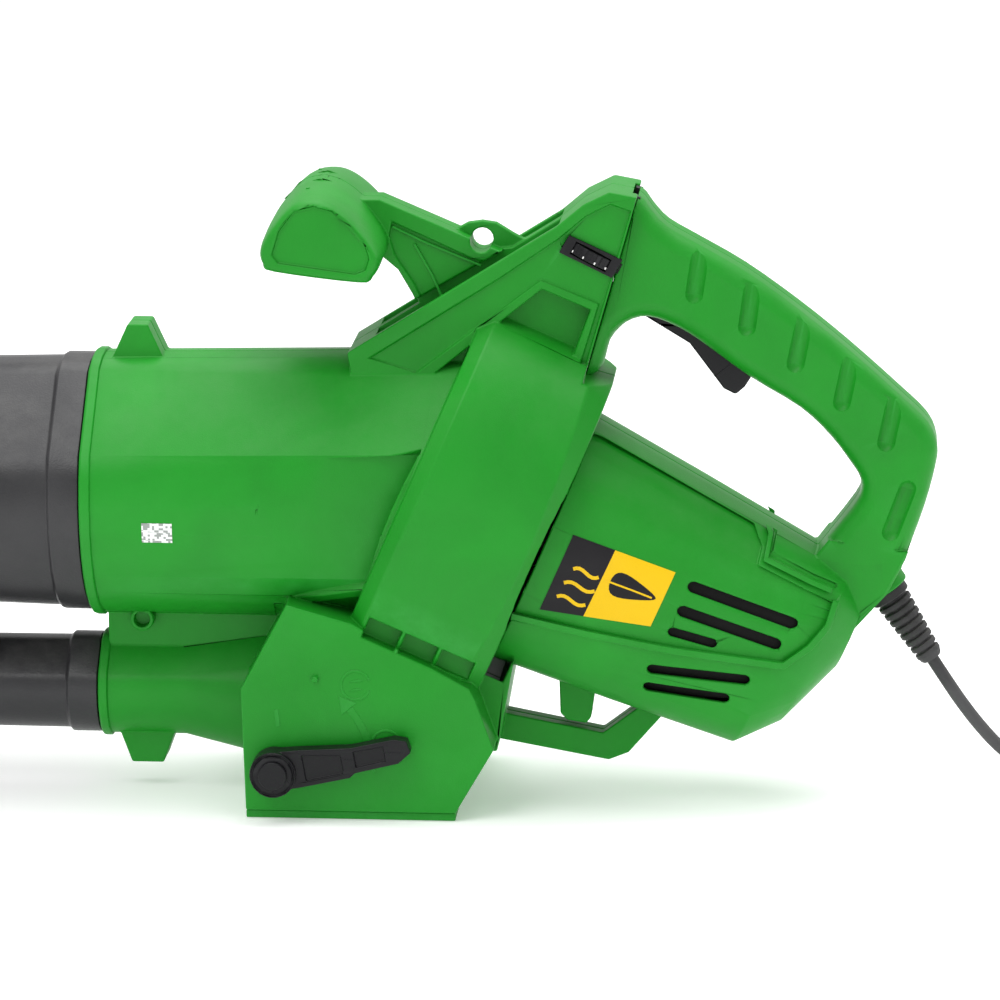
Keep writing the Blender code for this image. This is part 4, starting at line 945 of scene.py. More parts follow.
@dataclass
class FrontHousing:
    """The moulded front: suction and blower ducts, base block, fan casing, bracket and handle."""

    palette: Palette
    duct_front: float = -0.134
    duct_radius: float = 0.066
    duct_height: float = 0.156
    blow_radius: float = 0.026
    blow_height: float = 0.052
    block_half_width: float = 0.066
    bracket_half_width: float = 0.028
    arm_half_width: float = 0.012
    edge: float = 0.0009
    panel_floor: float = 0.0562

    def pocket(self, shell: bpy.types.Object, side: float) -> bpy.types.Object:
        """Set the wedge panel into the duct's side, in front of the fan casing.

        Args:
            shell: The housing half.
            side: -1 for the left half and 1 for the right one.

        Returns:
            The housing half with its panel.
        """
        rear_top = along_motor(-0.0353, 0.0255)
        rear_low = along_motor(-0.0353, -0.0460)
        outline = [(-0.046, 0.1800), (rear_top.x, rear_top.z), (rear_low.x, rear_low.z),
                   (-0.046, 0.1100)]
        low, high = both_ways(self.panel_floor, 0.0900, side)
        cutter = slab("panel_cut", outline, low, high)
        for vertex in cutter.data.vertices:
            inner = abs(vertex.co.y) < 0.07
            if vertex.co.x < -0.04:
                vertex.co.y = (0.0668 if inner else 0.0900) * side
            elif vertex.co.z > 0.17 and not inner:
                vertex.co.z += 0.022
        reach = (-0.060, 0.044)
        rings = []
        for x in reach:
            grow = 0.002 * (x - self.duct_front) / 0.176
            half = self.duct_section(x, self.duct_radius + grow - 0.0010,
                                     self.duct_height + grow, side)
            kept = [point for point in half if abs(point.y) > 0.045]
            rings.append(kept + [Vector((x, 0.045 * side, kept[-1].z)),
                                 Vector((x, 0.045 * side, kept[0].z))])
        filler = loft("panel_filler", rings)
        combine(shell, [filler], Merge.ADD)
        combine(shell, [cutter], Merge.CUT)
        return combine(shell, [self.ledge(side)], Merge.ADD)

    def ledge(self, side: float) -> bpy.types.Object:
        """Return the ledge under the duct's side panel, which grows towards the fan casing."""
        rings = []
        for x, outer, height, rise in ((-0.041, 0.0440, 0.1072, 0.0034),
                                       (-0.016, 0.0530, 0.1110, 0.0080),
                                       (0.012, 0.0588, 0.1165, 0.0125)):
            section = [(0.030, height - 0.004), (outer - 0.004, height - 0.004),
                       (outer, height), (outer - rise * 0.8, height + rise),
                       (0.030, height + rise)]
            rings.append([Vector((x, y * side, z)) for y, z in section])
        return loft("ledge", rings)

    def mouth_rings(self, side: float) -> list[bpy.types.Object]:
        """Return the lip rings of both duct mouths on one side."""
        rings = []
        for x, width, radius, height in ((self.duct_front, 0.0052, self.duct_radius,
                                          self.duct_height),
                                         (self.duct_front + 0.002, 0.0045, self.blow_radius,
                                          self.blow_height)):
            bands = []
            for place, grow in ((x + 0.0002, 0.0004), (x + 0.0012, 0.0013),
                                (x + width, 0.0013), (x + width + 0.0006, 0.0)):
                bands.append(self.duct_section(place, radius + grow, height, side))
            inner = [self.duct_section(place, radius - 0.0012, height, side)
                     for place in (x + width + 0.0006, x + 0.0002)]
            rings.append(self.band("lip", bands + inner))
        return rings

    def duct_section(self, x: float, radius: float, height: float, side: float) -> list[Vector]:
        """Return half of a duct's section, from its top over its ridge to its bottom."""
        angles = [89.9, 79.0, 68.0, 22.6]
        angles += [22.6 - 11.26 * step for step in range(1, 10)] + [-89.9]
        return [Vector((x, radius * math.cos(math.radians(angle)) * side,
                        height + radius * math.sin(math.radians(angle)))) for angle in angles]

    def band(self, name: str, rows: Sequence[Sequence[Vector]]) -> bpy.types.Object:
        """Return a closed band whose section runs through rows of points, with flat ends."""
        count = len(rows[0])
        points = [point for row in rows for point in row]
        faces = []
        for row in range(len(rows)):
            after = (row + 1) % len(rows)
            for index in range(count - 1):
                faces.append((row * count + index, row * count + index + 1,
                              after * count + index + 1, after * count + index))
        faces.append([row * count for row in range(len(rows))])
        faces.append([row * count + count - 1 for row in range(len(rows))])
        return tidy_mesh(new_object(name, points, [], faces))

    def bracket_cuts(self, side: float) -> list[bpy.types.Object]:
        """Return the cutters of the bracket's channels, rims and panel edge on one side."""
        cuts = []
        low, high = both_ways(0.0042, self.bracket_half_width - 0.0045, side)
        channel = [(0.0085, 0.2340), (0.0100, 0.2420), (0.0860, 0.2860), (0.0980, 0.2975),
                   (0.1000, 0.2875), (0.0895, 0.2780)]
        cuts.append(slab("channel", channel, low, high))
        low, high = both_ways(self.bracket_half_width - 0.0016, self.bracket_half_width + 0.004,
                              side)
        inset = [(0.0060, 0.2255), (0.0290, 0.2185), (0.0905, 0.2655), (0.1190, 0.2540),
                 (0.1100, 0.2240), (0.1128, 0.2235), (0.1345, 0.3000), (0.1245, 0.3035),
                 (0.1125, 0.2975), (0.0990, 0.2860), (0.0700, 0.2660)]
        cuts.append(slab("bracket_face", inset, low, high))
        return cuts

    def arm_cuts(self, side: float) -> list[bpy.types.Object]:
        """Return the cutters of the front arm's sunken web on one side."""
        low, high = both_ways(self.arm_half_width - 0.0022, self.arm_half_width + 0.004, side)
        web = [(0.0175, 0.2740), (0.0270, 0.2600), (0.0340, 0.2450), (0.0480, 0.2500),
               (0.0600, 0.2600), (0.0700, 0.2700), (0.0560, 0.2730), (0.0330, 0.2835),
               (0.0160, 0.2910), (0.0145, 0.2840)]
        return [slab("arm_web", web, low, high)]

    def arm_ribs(self, side: float) -> list[bpy.types.Object]:
        """Return the raised lines of the front arm on one side."""
        low, high = both_ways(self.arm_half_width - 0.0040, self.arm_half_width - 0.0008, side)
        ribs = []
        for points in ([(0.0160, 0.2885), (0.0330, 0.2805), (0.0600, 0.2695)],
                       [(0.0270, 0.2800), (0.0360, 0.2640), (0.0420, 0.2500)]):
            ribs.append(slab("arm_rib", ribbon(points, 0.0012), low, high))
        return ribs

    def bar_cuts(self, side: float) -> list[bpy.types.Object]:
        """Return the cutter of the sunken panel in the front handle's end."""
        low, high = both_ways(0.0558, 0.0600, side)
        panel = [(-0.0385, 0.2815), (-0.0355, 0.2775), (0.0020, 0.2725), (0.0070, 0.2745),
                 (0.0088, 0.2800), (0.0070, 0.2860), (-0.0010, 0.2960), (-0.0090, 0.3030),
                 (-0.0180, 0.3055), (-0.0275, 0.3030), (-0.0350, 0.2930)]
        return [slab("bar_end", panel, low, high)]

    def handle_bar(self, side: float) -> bpy.types.Object:
        """Return one smooth half of the front handle's cross bar."""
        corners = [(-0.0450, 0.2870), (-0.0440, 0.2800), (-0.0385, 0.2760), (0.0040, 0.2710),
                   (0.0105, 0.2735), (0.0140, 0.2800), (0.0125, 0.2870), (0.0030, 0.3000),
                   (-0.0080, 0.3090), (-0.0180, 0.3120), (-0.0290, 0.3093), (-0.0400, 0.2970)]
        outline = [Vector(point) for point in rounded_outline(corners, 4)]
        centre = Vector((-0.0150, 0.2910))
        rings = []
        for y, share, drop in ((0.0002, 1.0, 0.0), (0.0150, 1.0, 0.0006), (0.0300, 1.0, 0.0015),
                               (0.0460, 0.995, 0.0029), (0.0515, 0.985, 0.0034),
                               (0.0545, 0.965, 0.0037), (0.0562, 0.930, 0.0039),
                               (0.0570, 0.870, 0.0040)):
            ring = [centre + (point - centre) * share for point in outline]
            rings.append([Vector((point.x, y * side, point.y - drop)) for point in ring])
        return loft("handle_bar", rings)

    def build_shell(self, word: str) -> None:
        """Make one detailed housing half from its CAD solid."""
        side = SIDES[word]
        node = "front_housing_" + word
        shell = copy_of(node)
        self.pocket(shell, side)
        low, high = both_ways(self.arm_half_width + 0.0006, 0.070, side)
        combine(shell, [block("bar_room", (-0.055, low, 0.262), (0.020, high, 0.330))], Merge.CUT)
        combine(shell, [self.handle_bar(side)], Merge.ADD)
        cuts = self.bracket_cuts(side) + self.arm_cuts(side)
        combine(shell, cuts + self.bar_cuts(side), Merge.CUT)
        tidy_mesh(shell, 0.00012)
        soften(shell, self.edge, 3)
        dress(shell, self.palette.green, Slot.GREEN, Body.HOUSING, node)
        rings = merge_all("duct_lips_" + word, self.mouth_rings(side))
        dress(soften(rings, 0.0004), self.palette.green, Slot.GREEN, Body.HOUSING)
        ribs = merge_all("arm_ribs_" + word, self.arm_ribs(side))
        dress(soften(ribs, 0.0004), self.palette.green, Slot.GREEN, Body.HOUSING)

    def mode_marks(self, word: str) -> None:
        """Emboss the mode symbols: a stop bump, a bar, two round signs and a double arrow."""
        side = SIDES[word]
        face = self.block_half_width
        low, high = both_ways(face - 0.0008, face + 0.0003, side)
        pieces = [rod("stop", (-0.018, (face - 0.001) * side, 0.072),
                      (-0.018, (face + 0.0022) * side, 0.072), 0.0020, 20, 0.0014)]
        bar = ribbon([(-0.0375, 0.0560), (-0.0365, 0.0475)], 0.0022)
        pieces.append(slab("bar", bar, low, high))
        for centre, gap in (((0.002, 0.069), 20.0), ((0.017, 0.039), 200.0)):
            ring = arc(centre, 0.0078, gap, gap + 320.0, 28) + mirrored(
                arc(centre, 0.0066, gap, gap + 320.0, 28))
            pieces.append(slab("sign", ring, low, high))
            for offset in (-0.0022, 0.0022):
                leaf = [(centre[0] - 0.0035, centre[1] + offset - 0.0008),
                        (centre[0] + 0.0005, centre[1] + offset + 0.0009),
                        (centre[0] + 0.0040, centre[1] + offset + 0.0002),
                        (centre[0] + 0.0005, centre[1] + offset - 0.0006)]
                pieces.append(slab("leaf", leaf, low, high))
        centre = (-0.038, 0.026)
        outer = arc(centre, 0.0500, 8.0, 40.0, 14)
        inner = arc(centre, 0.0462, 8.0, 40.0, 14)
        line = outer + mirrored(inner)
        pieces.append(slab("arrow", line, low, high))
        for angle, way in ((8.0, -1.0), (40.0, 1.0)):
            turn = math.radians(angle)
            out = Vector((math.cos(turn), math.sin(turn)))
            across = Vector((-out.y, out.x)) * way
            base = Vector(centre) + out * 0.0481
            head = [tuple(base + out * 0.0048), tuple(base + across * 0.0085),
                    tuple(base - out * 0.0048)]
            pieces.append(slab("arrow_head", head if way > 0 else mirrored(head), low, high))
        marks = merge_all("mode_marks_" + word, pieces)
        dress(soften(marks, 0.0002, 1), self.palette.green, Slot.GREEN, Body.HOUSING)

    def screw_bosses(self, word: str) -> None:
        """Make the ringed boss in the web between the ducts."""
        side = SIDES[word]
        profile = [(0.0, -0.002), (0.0060, -0.002), (0.0060, 0.0065), (0.0054, 0.0072),
                   (0.0042, 0.0072), (0.0040, 0.0066), (0.0036, 0.0022), (0.0, 0.0020)]
        if side > 0:
            profile = [(0.0060, -0.002), (0.0060, 0.0005), (0.0054, 0.0010), (0.0048, 0.0010),
                       (0.0045, -0.002)]
        boss = turned("web_boss_" + word, profile, (-0.110, 0.012 * side, 0.089),
                      (0.0, side, 0.0), 40, ring=side > 0)
        dress(soften(boss, 0.0002), self.palette.green, Slot.GREEN, Body.HOUSING)

    def parting_ridge(self) -> None:
        """Make the small round mould marks on both sides of the front handle."""
        dots = []
        for side in SIDES.values():
            dots.append(rod("mould_dot", (-0.0235, 0.030 * side, 0.3085),
                            (-0.0235, 0.030 * side, 0.3106), 0.0012, 16, 0.0009))
        dress(soften(merge_all("handle_mould_dots", dots), 0.0002, 1), self.palette.green,
              Slot.GREEN, Body.HOUSING)

    def build(self) -> None:
        """Build and dress the whole front housing."""
        for word in SIDES:
            self.build_shell(word)
            self.mode_marks(word)
            self.screw_bosses(word)
        self.parting_ridge()


# ---------------------------------------------------------------- rear housing

@dataclass
class RearHousing:
    """The motor housing with its D-shaped handle."""

    palette: Palette
    grip_half_width: float = 0.021
    wall: float = 0.003
    edge: float = 0.0009
    slot_radius: float = 0.0050
    slot_depth: float = 0.0027
    panel_depth: float = 0.0015
    moulding_rise: float = 0.0016
    finger_slots: Sequence[tuple[tuple[float, float], tuple[float, float]]] = (
        ((0.1690, 0.2840), (0.1655, 0.2580)), ((0.1950, 0.2690), (0.1915, 0.2420)),
        ((0.2205, 0.2500), (0.2155, 0.2240)), ((0.2435, 0.2310), (0.2385, 0.2050)),
        ((0.2655, 0.2100), (0.2605, 0.1850)), ((0.2715, 0.1620), (0.2635, 0.1400)))

    def motor_ring(self, along: float, middle: float, half_height: float,
                   half_width: float, count: int = 48) -> list[Vector]:
        """Return one ring of the motor housing's outer shape."""
        ring = []
        power = 2.0 / 2.6
        for step in range(count):
            angle = 2.0 * math.pi * (step + 0.5) / count
            cosine, sine = math.cos(angle), math.sin(angle)
            across = math.copysign(abs(cosine) ** power, cosine) * half_height
            side = math.copysign(abs(sine) ** power, sine) * half_width
            ring.append(along_motor(along, middle + across, side))
        return ring

    def motor_core(self, inset: float) -> bpy.types.Object:
        """Return the motor housing's outer shape drawn in by an inset."""
        stations = [(0.030, 0.0, 0.0655, 0.0600), (0.100, -0.0013, 0.0600, 0.0560),
                    (0.165, -0.0025, 0.0537, 0.0500), (0.182, 0.0050, 0.0420, 0.0420),
                    (0.196, 0.0180, 0.0200, 0.0240)]
        rings = [self.motor_ring(along, middle, half_height - inset, half_width - inset)
                 for along, middle, half_height, half_width in stations]
        return loft("motor_core", rings)

    def side_panel(self, side: float) -> bpy.types.Object:
        """Return the cutter of the sunken panel that holds the label and the upper vents."""
        outline = [(0.060, 0.2115), (0.121, 0.1870), (0.196, 0.1440), (0.2005, 0.1350),
                   (0.1985, 0.1275), (0.2360, 0.1075), (0.2325, 0.0960), (0.2150, 0.0790),
                   (0.1580, 0.0870), (0.060, 0.1040)]
        low, high = both_ways(0.020, 0.080, side)
        tool = slab("panel_cut", outline, low, high)
        return combine(tool, [self.motor_core(self.panel_depth)], Merge.CUT)

    def upper_groove(self, side: float) -> bpy.types.Object:
        """Return the cutter of the groove that follows the panel's upper edge."""
        line = [(0.110, 0.1985), (0.124, 0.1930), (0.2010, 0.1490), (0.2065, 0.1400),
                (0.2045, 0.1315), (0.2370, 0.1140)]
        low, high = both_ways(0.016, 0.080, side)
        tool = slab("groove_cut", ribbon(line, 0.0016), low, high)
        return combine(tool, [self.motor_core(0.0009)], Merge.CUT)

    def mouldings(self, side: float) -> list[bpy.types.Object]:
        """Return the raised mouldings along both long edges of the sunken panel."""
        paths = (([(0.0780, 0.1030), (0.1150, 0.0945), (0.1580, 0.0862), (0.2120, 0.0782),
                   (0.2245, 0.0865), (0.2335, 0.0965), (0.2372, 0.1080)], 0.0034),
                 ([(0.0900, 0.2085), (0.1240, 0.1945), (0.1995, 0.1510), (0.2045, 0.1400),
                   (0.2025, 0.1300), (0.2350, 0.1130)], 0.0022))
        low, high = both_ways(0.020, 0.080, side)
        strips = []
        for path, width in paths:
            strip = slab("moulding", ribbon(path, width), low, high)
            combine(strip, [self.motor_core(-self.moulding_rise)], Merge.KEEP)
            strips.append(combine(strip, [self.motor_core(0.0022)], Merge.CUT))
        return strips

    def grip_cuts(self, side: float) -> list[bpy.types.Object]:
        """Return the cutters of the finger slots on one side of the handle."""
        cuts = []
        place = (self.grip_half_width + self.slot_radius - self.slot_depth) * side
        for (x1, z1), (x2, z2) in self.finger_slots:
            cuts.append(capsule("finger_slot", (x1, place, z1), (x2, place, z2),
                                self.slot_radius))
        return cuts

    def grip(self, side: float) -> bpy.types.Object:
        """Return one smooth half of the D-shaped handle, hollow and open at the parting plane."""
        knots = [(0.0950, 0.2175), (0.0950, 0.3150), (0.1200, 0.3140), (0.1375, 0.3065),
                 (0.1445, 0.2982), (0.1520, 0.2905), (0.1670, 0.2820), (0.1900, 0.2690),
                 (0.2170, 0.2500),
                 (0.2420, 0.2300), (0.2670, 0.2080), (0.2810, 0.1945), (0.2858, 0.1830),
                 (0.2850, 0.1720), (0.2800, 0.1520), (0.2720, 0.1290), (0.2665, 0.1170),
                 (0.2480, 0.1140), (0.2310, 0.1190), (0.2310, 0.1320), (0.2400, 0.1450),
                 (0.2480, 0.1570), (0.2482, 0.1655), (0.2430, 0.1740), (0.2330, 0.1870),
                 (0.2180, 0.2010), (0.1930, 0.2160), (0.1680, 0.2340), (0.1560, 0.2410),
                 (0.1430, 0.2455), (0.1320, 0.2425), (0.1240, 0.2335), (0.1178, 0.2175)]
        outline = rounded_outline(knots, 3)
        low, high = both_ways(0.00015, self.grip_half_width, side)
        grip = slab("grip", outline, low, high)
        round_over(grip, self.grip_half_width, 0.0090, 6)
        inner = inset_outline(outline, self.wall)
        low, high = both_ways(-0.001, self.grip_half_width - self.wall, side)
        slot = [(0.1265, 0.2440), (0.1310, 0.2360), (0.1600, 0.2200), (0.1980, 0.2020),
                (0.2000, 0.2170), (0.1750, 0.2400), (0.1400, 0.2560), (0.1280, 0.2520)]
        along = (SEAM_HIGH - SEAM_LOW).normalized()
        ahead = Vector((along.y, -along.x))
        start = SEAM_LOW - along * 0.05 + ahead * 0.0003
        end = SEAM_HIGH + along * 0.05 + ahead * 0.0003
        seam = [tuple(start), tuple(end), tuple(end - ahead * 0.1), tuple(start - ahead * 0.1)]
        tools = [slab("hollow", inner, low, high), slab("slot", slot, -0.0081, 0.0081),
                 slab("seam", seam, -0.1, 0.1)]
        return combine(grip, tools, Merge.CUT)

    def build_shell(self, word: str) -> None:
        """Make one detailed housing half from its CAD solid."""
        side = SIDES[word]
        node = "rear_housing_" + word
        shell = copy_of(node)
        room = [(0.1000, 0.2140), (0.1180, 0.2145), (0.1500, 0.2050), (0.2000, 0.1780),
                (0.2262, 0.1520), (0.2290, 0.1360), (0.3000, 0.1260), (0.3000, 0.3200),
                (0.1000, 0.3200)]
        combine(shell, [slab("grip_room", room, -0.1, 0.1)], Merge.CUT)
        combine(shell, [self.grip(side)], Merge.ADD, crossing=True)
        combine(shell, [self.side_panel(side), self.upper_groove(side)], Merge.CUT)
        tidy_mesh(shell, 0.0001)
        soften(shell, self.edge, 3)
        combine(shell, self.grip_cuts(side), Merge.CUT)
        reshade(shell)
        dress(shell, self.palette.green, Slot.GREEN, Body.HOUSING, node)
        strips = merge_all("mouldings_" + word, self.mouldings(side))
        dress(soften(tidy_mesh(strips), 0.0004), self.palette.green, Slot.GREEN, Body.HOUSING)

    def wrap(self, name: str, outline: Outline, side: float, lift: float,
             material: bpy.types.Material, thickness: float = 0.0003) -> bpy.types.Object:
        """Lay a thin film with a given outline on the motor housing's panel.

        Args:
            name: The film's name.
            outline: Its outline seen from the side.
            side: -1 for the left side and 1 for the right one.
            lift: How far its back is above the panel's floor.
            material: Its finish.
            thickness: Its thickness.

        Returns:
            The dressed film.
        """
        low, high = both_ways(0.020, 0.080, side)
        film = slab(name, outline, low, high)
        core = self.motor_core(self.panel_depth - lift - thickness)
        film = combine(film, [core], Merge.KEEP)
        film = combine(film, [self.motor_core(self.panel_depth - lift + 0.0002)], Merge.CUT)
        tidy_mesh(film)
        bpy.ops.object.shade_smooth_by_angle(angle=math.radians(30.0))
        return dress(film, material, Slot.BLACK, Body.HOUSING)

    def vent_shade_sheet(self, word: str) -> None:
        """Fit a dark sheet just inside the vents of one side, as painted shade for the room behind
        them.
        """
        low, high = both_ways(0.020, 0.080, SIDES[word])
        outline = [(0.100, 0.215), (0.245, 0.165), (0.250, 0.060), (0.100, 0.060)]
        # painted shade: the dark sheet stands where the inside of the housing would only be in
        # shade
        screen = slab("vent_shade_sheet_" + word, outline, low, high)
        combine(screen, [self.motor_core(self.wall + 0.0012)], Merge.KEEP)
        combine(screen, [self.motor_core(self.wall + 0.0020)], Merge.CUT)
        tidy_mesh(screen)
        bpy.ops.object.shade_smooth_by_angle(angle=SMOOTH_ANGLE)
        dress(screen, self.palette.screen, Slot.BLACK, Body.HOUSING)

    def joint_gasket(self, word: str) -> None:
        """Lay one half of the gasket in the joint with the fan casing."""
        low, high = both_ways(0.0, 0.080, SIDES[word])
        gasket = slab("joint_gasket_" + word, [(0.0, 0.05), (0.0, 0.26), (0.17, 0.26),
                                               (0.17, 0.05)], low, high)
        rings = [self.motor_ring(along, 0.0, 0.0648, 0.0593) for along in (0.0268, 0.0325)]
        bore = [self.motor_ring(along, 0.0, 0.0600, 0.0545) for along in (0.0250, 0.0345)]
        combine(gasket, [loft("outside", rings)], Merge.KEEP)
        combine(gasket, [loft("bore", bore)], Merge.CUT)
        tidy_mesh(gasket)
        bpy.ops.object.shade_smooth_by_angle(angle=SMOOTH_ANGLE)
        dress(gasket, self.palette.rubber, Slot.RUBBER, Body.HOUSING)

    def seam_tongue(self, word: str) -> None:
        """Make the tongues that close the seam between the bracket and the grip."""
        low, high = both_ways(0.0095, 0.0165, SIDES[word])
        ahead = Vector((0.0017, -0.0005))
        tongues = []
        for near, far in ((-0.02, 0.45), (0.88, 0.985)):
            first, last = SEAM_LOW.lerp(SEAM_HIGH, near), SEAM_LOW.lerp(SEAM_HIGH, far)
            corners = [first - ahead, last - ahead, last + ahead, first + ahead]
            tongues.append(slab("tongue", [tuple(corner) for corner in corners], low, high))
        dress(soften(merge_all("seam_tongue_" + word, tongues), 0.0002, 2),
              self.palette.rubber, Slot.RUBBER, Body.HOUSING)

    def label(self, word: str) -> None:
        """Make the two-tone label with a plain breeze emblem."""
        side = SIDES[word]
        top_left, top_right = (0.1085, 0.1445), (0.1585, 0.1255)
        low_right, low_left = (0.1465, 0.0985), (0.0920, 0.1065)
        split_top, split_low = (0.1290, 0.1367), (0.1135, 0.1034)
        self.wrap("label_dark_" + word, [top_left, split_top, split_low, low_left], side, 0.0,
                  self.palette.label_dark)
        self.wrap("label_bright_" + word, [split_top, top_right, low_right, split_low], side, 0.0,
                  self.palette.label_bright)
        for index, (x, z, reach) in enumerate(((0.1005, 0.1135, 0.0140), (0.1040, 0.1205, 0.0150),
                                               (0.1085, 0.1275, 0.0125))):
            wave = []
            for step in range(9):
                share = step / 8.0
                wave.append((x + reach * share,
                             z + 0.0013 * math.sin(share * 2.0 * math.pi) - 0.0042 * share))
            self.wrap(f"breeze_line_{index}_{word}", ribbon(wave, 0.0018), side, 0.0001,
                      self.palette.label_bright)
        leaf = []
        for step in range(24):
            angle = 2.0 * math.pi * step / 24.0
            reach = 0.0120 * (1.0 + 0.25 * math.cos(angle))
            along = Vector((0.93, -0.36))
            across = Vector((0.36, 0.93))
            point = Vector((0.1350, 0.1180)) + along * (reach * math.cos(angle))
            point += across * (0.0058 * math.sin(angle) * (1.0 - 0.45 * math.cos(angle)))
            leaf.append(tuple(point))
        self.wrap("leaf_emblem_" + word, leaf, side, 0.0001, self.palette.label_dark)
        vein = ribbon([(0.1250, 0.1215), (0.1370, 0.1170), (0.1470, 0.1130)], 0.0009)
        self.wrap("leaf_vein_" + word, vein, side, 0.0002, self.palette.label_bright)

    def build(self) -> None:
        """Build and dress the whole rear housing."""
        for word in SIDES:
            self.build_shell(word)
            self.vent_shade_sheet(word)
            self.joint_gasket(word)
            self.seam_tongue(word)
            self.label(word)


# ---------------------------------------------------------------- controls

@dataclass
class Controls:
    """The mode lever with its cap, the trigger and the speed dial."""

    palette: Palette
    pivot: Vector = field(default_factory=lambda: Vector((-0.038, 0.0, 0.026)))
    lever_slope: float = math.radians(10.0)
    block_half_width: float = 0.066
    clearance: float = 0.0006
    arm_thickness: float = 0.0105
    dial_radius: float = 0.018

    def lever(self) -> None:
        """Detail the mode lever: a rimmed knob, ribs on the arm and a raised tip."""
        lever = copy_of("mode_lever")
        low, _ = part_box("mode_lever")
        face = low[1]
        profile = [(0.0108, 0.0), (0.0108, -0.0014), (0.0098, -0.0014), (0.0090, -0.0002)]
        rim = turned("rim", profile,
                     (self.pivot.x, face + 0.0012, self.pivot.z), (0.0, 1.0, 0.0), 48, ring=True)
        along = Vector((math.cos(self.lever_slope), 0.0, math.sin(self.lever_slope)))
        up = Vector((-along.z, 0.0, along.x))
        outlines = []
        for points in (((0.0155, -0.0060), (0.0345, -0.0052), (0.0345, 0.0042), (0.0155, 0.0070)),
                       ((0.0410, -0.0032), (0.0560, -0.0022), (0.0560, 0.0052),
                        (0.0410, 0.0048))):
            outline = []
            for reach, height in points:
                point = self.pivot + along * reach + up * height
                outline.append((point.x, point.z))
            outlines.append(outline)
        arm_face = -(self.block_half_width + self.clearance + self.arm_thickness)
        cuts = [slab("arm_panel", outline, arm_face - 0.01, arm_face + 0.0014)
                for outline in outlines]
        cuts.append(rod("detent", (0.0114, -0.0692, 0.0351), (0.0114, -0.0640, 0.0351), 0.0030,
                        24))
        combine(lever, cuts, Merge.CUT)
        combine(lever, [rim], Merge.ADD)
        soften(tidy_mesh(lever, 0.00005), 0.0006, 3)
        dress(lever, self.palette.black, Slot.BLACK, Body.DIVERTER, "mode_lever")
        cap = copy_of("lever_cap")
        soften(cap, 0.0006, 3)
        dress(cap, self.palette.black, Slot.BLACK, Body.DIVERTER, "lever_cap")
        flap = copy_of("diverter_flap")
        soften(flap, 0.0004)
        dress(flap, self.palette.black, Slot.BLACK, Body.DIVERTER, "diverter_flap")

    def trigger(self) -> None:
        """Detail the trigger with rounded edges and grip lines."""
        trigger = copy_of("trigger")
        cuts = []
        for step in range(5):
            share = step / 4.0
            x = 0.1480 + (0.1745 - 0.1480) * share
            z = 0.2392 + (0.2140 - 0.2392) * share
            cuts.append(rod("grip_line", (x, -0.02, z), (x, 0.02, z), 0.0011, 16))
        combine(trigger, cuts, Merge.CUT)
        soften(tidy_mesh(trigger, 0.00005), 0.0014, 4)
        dress(trigger, self.palette.black, Slot.BLACK, Body.TRIGGER, "trigger")

    def dial(self) -> None:
        """Detail the speed dial: knurled rim and white setting marks."""
        dial = copy_of("speed_dial")
        low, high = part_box("speed_dial")
        centre = (Vector(low) + Vector(high)) / 2.0
        axis = DIAL_AXIS
        across = Vector((-axis.z, 0.0, axis.x))
        cuts = []
        count = 44
        for index in range(count):
            angle = 2.0 * math.pi * index / count
            out = SIDE * math.cos(angle) + across * math.sin(angle)
            base = centre + out * (self.dial_radius + 0.0003)
            cuts.append(rod("notch", base - axis * 0.0012, base + axis * 0.0040, 0.0006, 6))
        notches = merge_all("notches", cuts)
        combine(dial, [notches], Merge.CUT)
        soften(tidy_mesh(dial, 0.00005), 0.0002, 1)
        dress(dial, self.palette.black, Slot.BLACK, Body.DIAL, "speed_dial")
        marks = []
        for index in range(6):
            angle = math.radians(180.0 - 50.0 + 20.0 * index)
            out = SIDE * math.cos(angle) + across * math.sin(angle)
            flank = axis.cross(out)
            base = centre + out * (self.dial_radius - 0.0004) - axis * 0.0020
            half = 0.00022 + 0.00005 * index
            corners = [base - flank * half - axis * 0.0003, base + flank * half - axis * 0.0003,
                       base + flank * half + axis * 0.0008, base - flank * half + axis * 0.0008]
            rings = [corners, [corner + out * 0.0006 for corner in corners]]
            marks.append(loft("mark", rings))
        dress(merge_all("dial_marks", marks), self.palette.mark, Slot.BLACK, Body.DIAL)

    def bezel(self) -> None:
        """Make the black frame that the dial shows through."""
        outline = [(0.0995, 0.2795), (0.1045, 0.2880), (0.1305, 0.2760), (0.1255, 0.2670)]
        plate = slab("dial_bezel", outline, -0.0284, -0.0256)
        hole = rod("dial_hole", DIAL_CENTRE - DIAL_AXIS * 0.0034,
                   DIAL_CENTRE + DIAL_AXIS * 0.0034, 0.0186, 64)
        combine(plate, [hole], Merge.CUT)
        soften(tidy_mesh(plate), 0.0003, 2)
        dress(plate, self.palette.black, Slot.BLACK, Body.HOUSING)

    def build(self) -> None:
        """Build and dress all controls."""
        self.lever()
        self.trigger()
        self.dial()
        self.bezel()


# ---------------------------------------------------------------- tubes, base and wheels

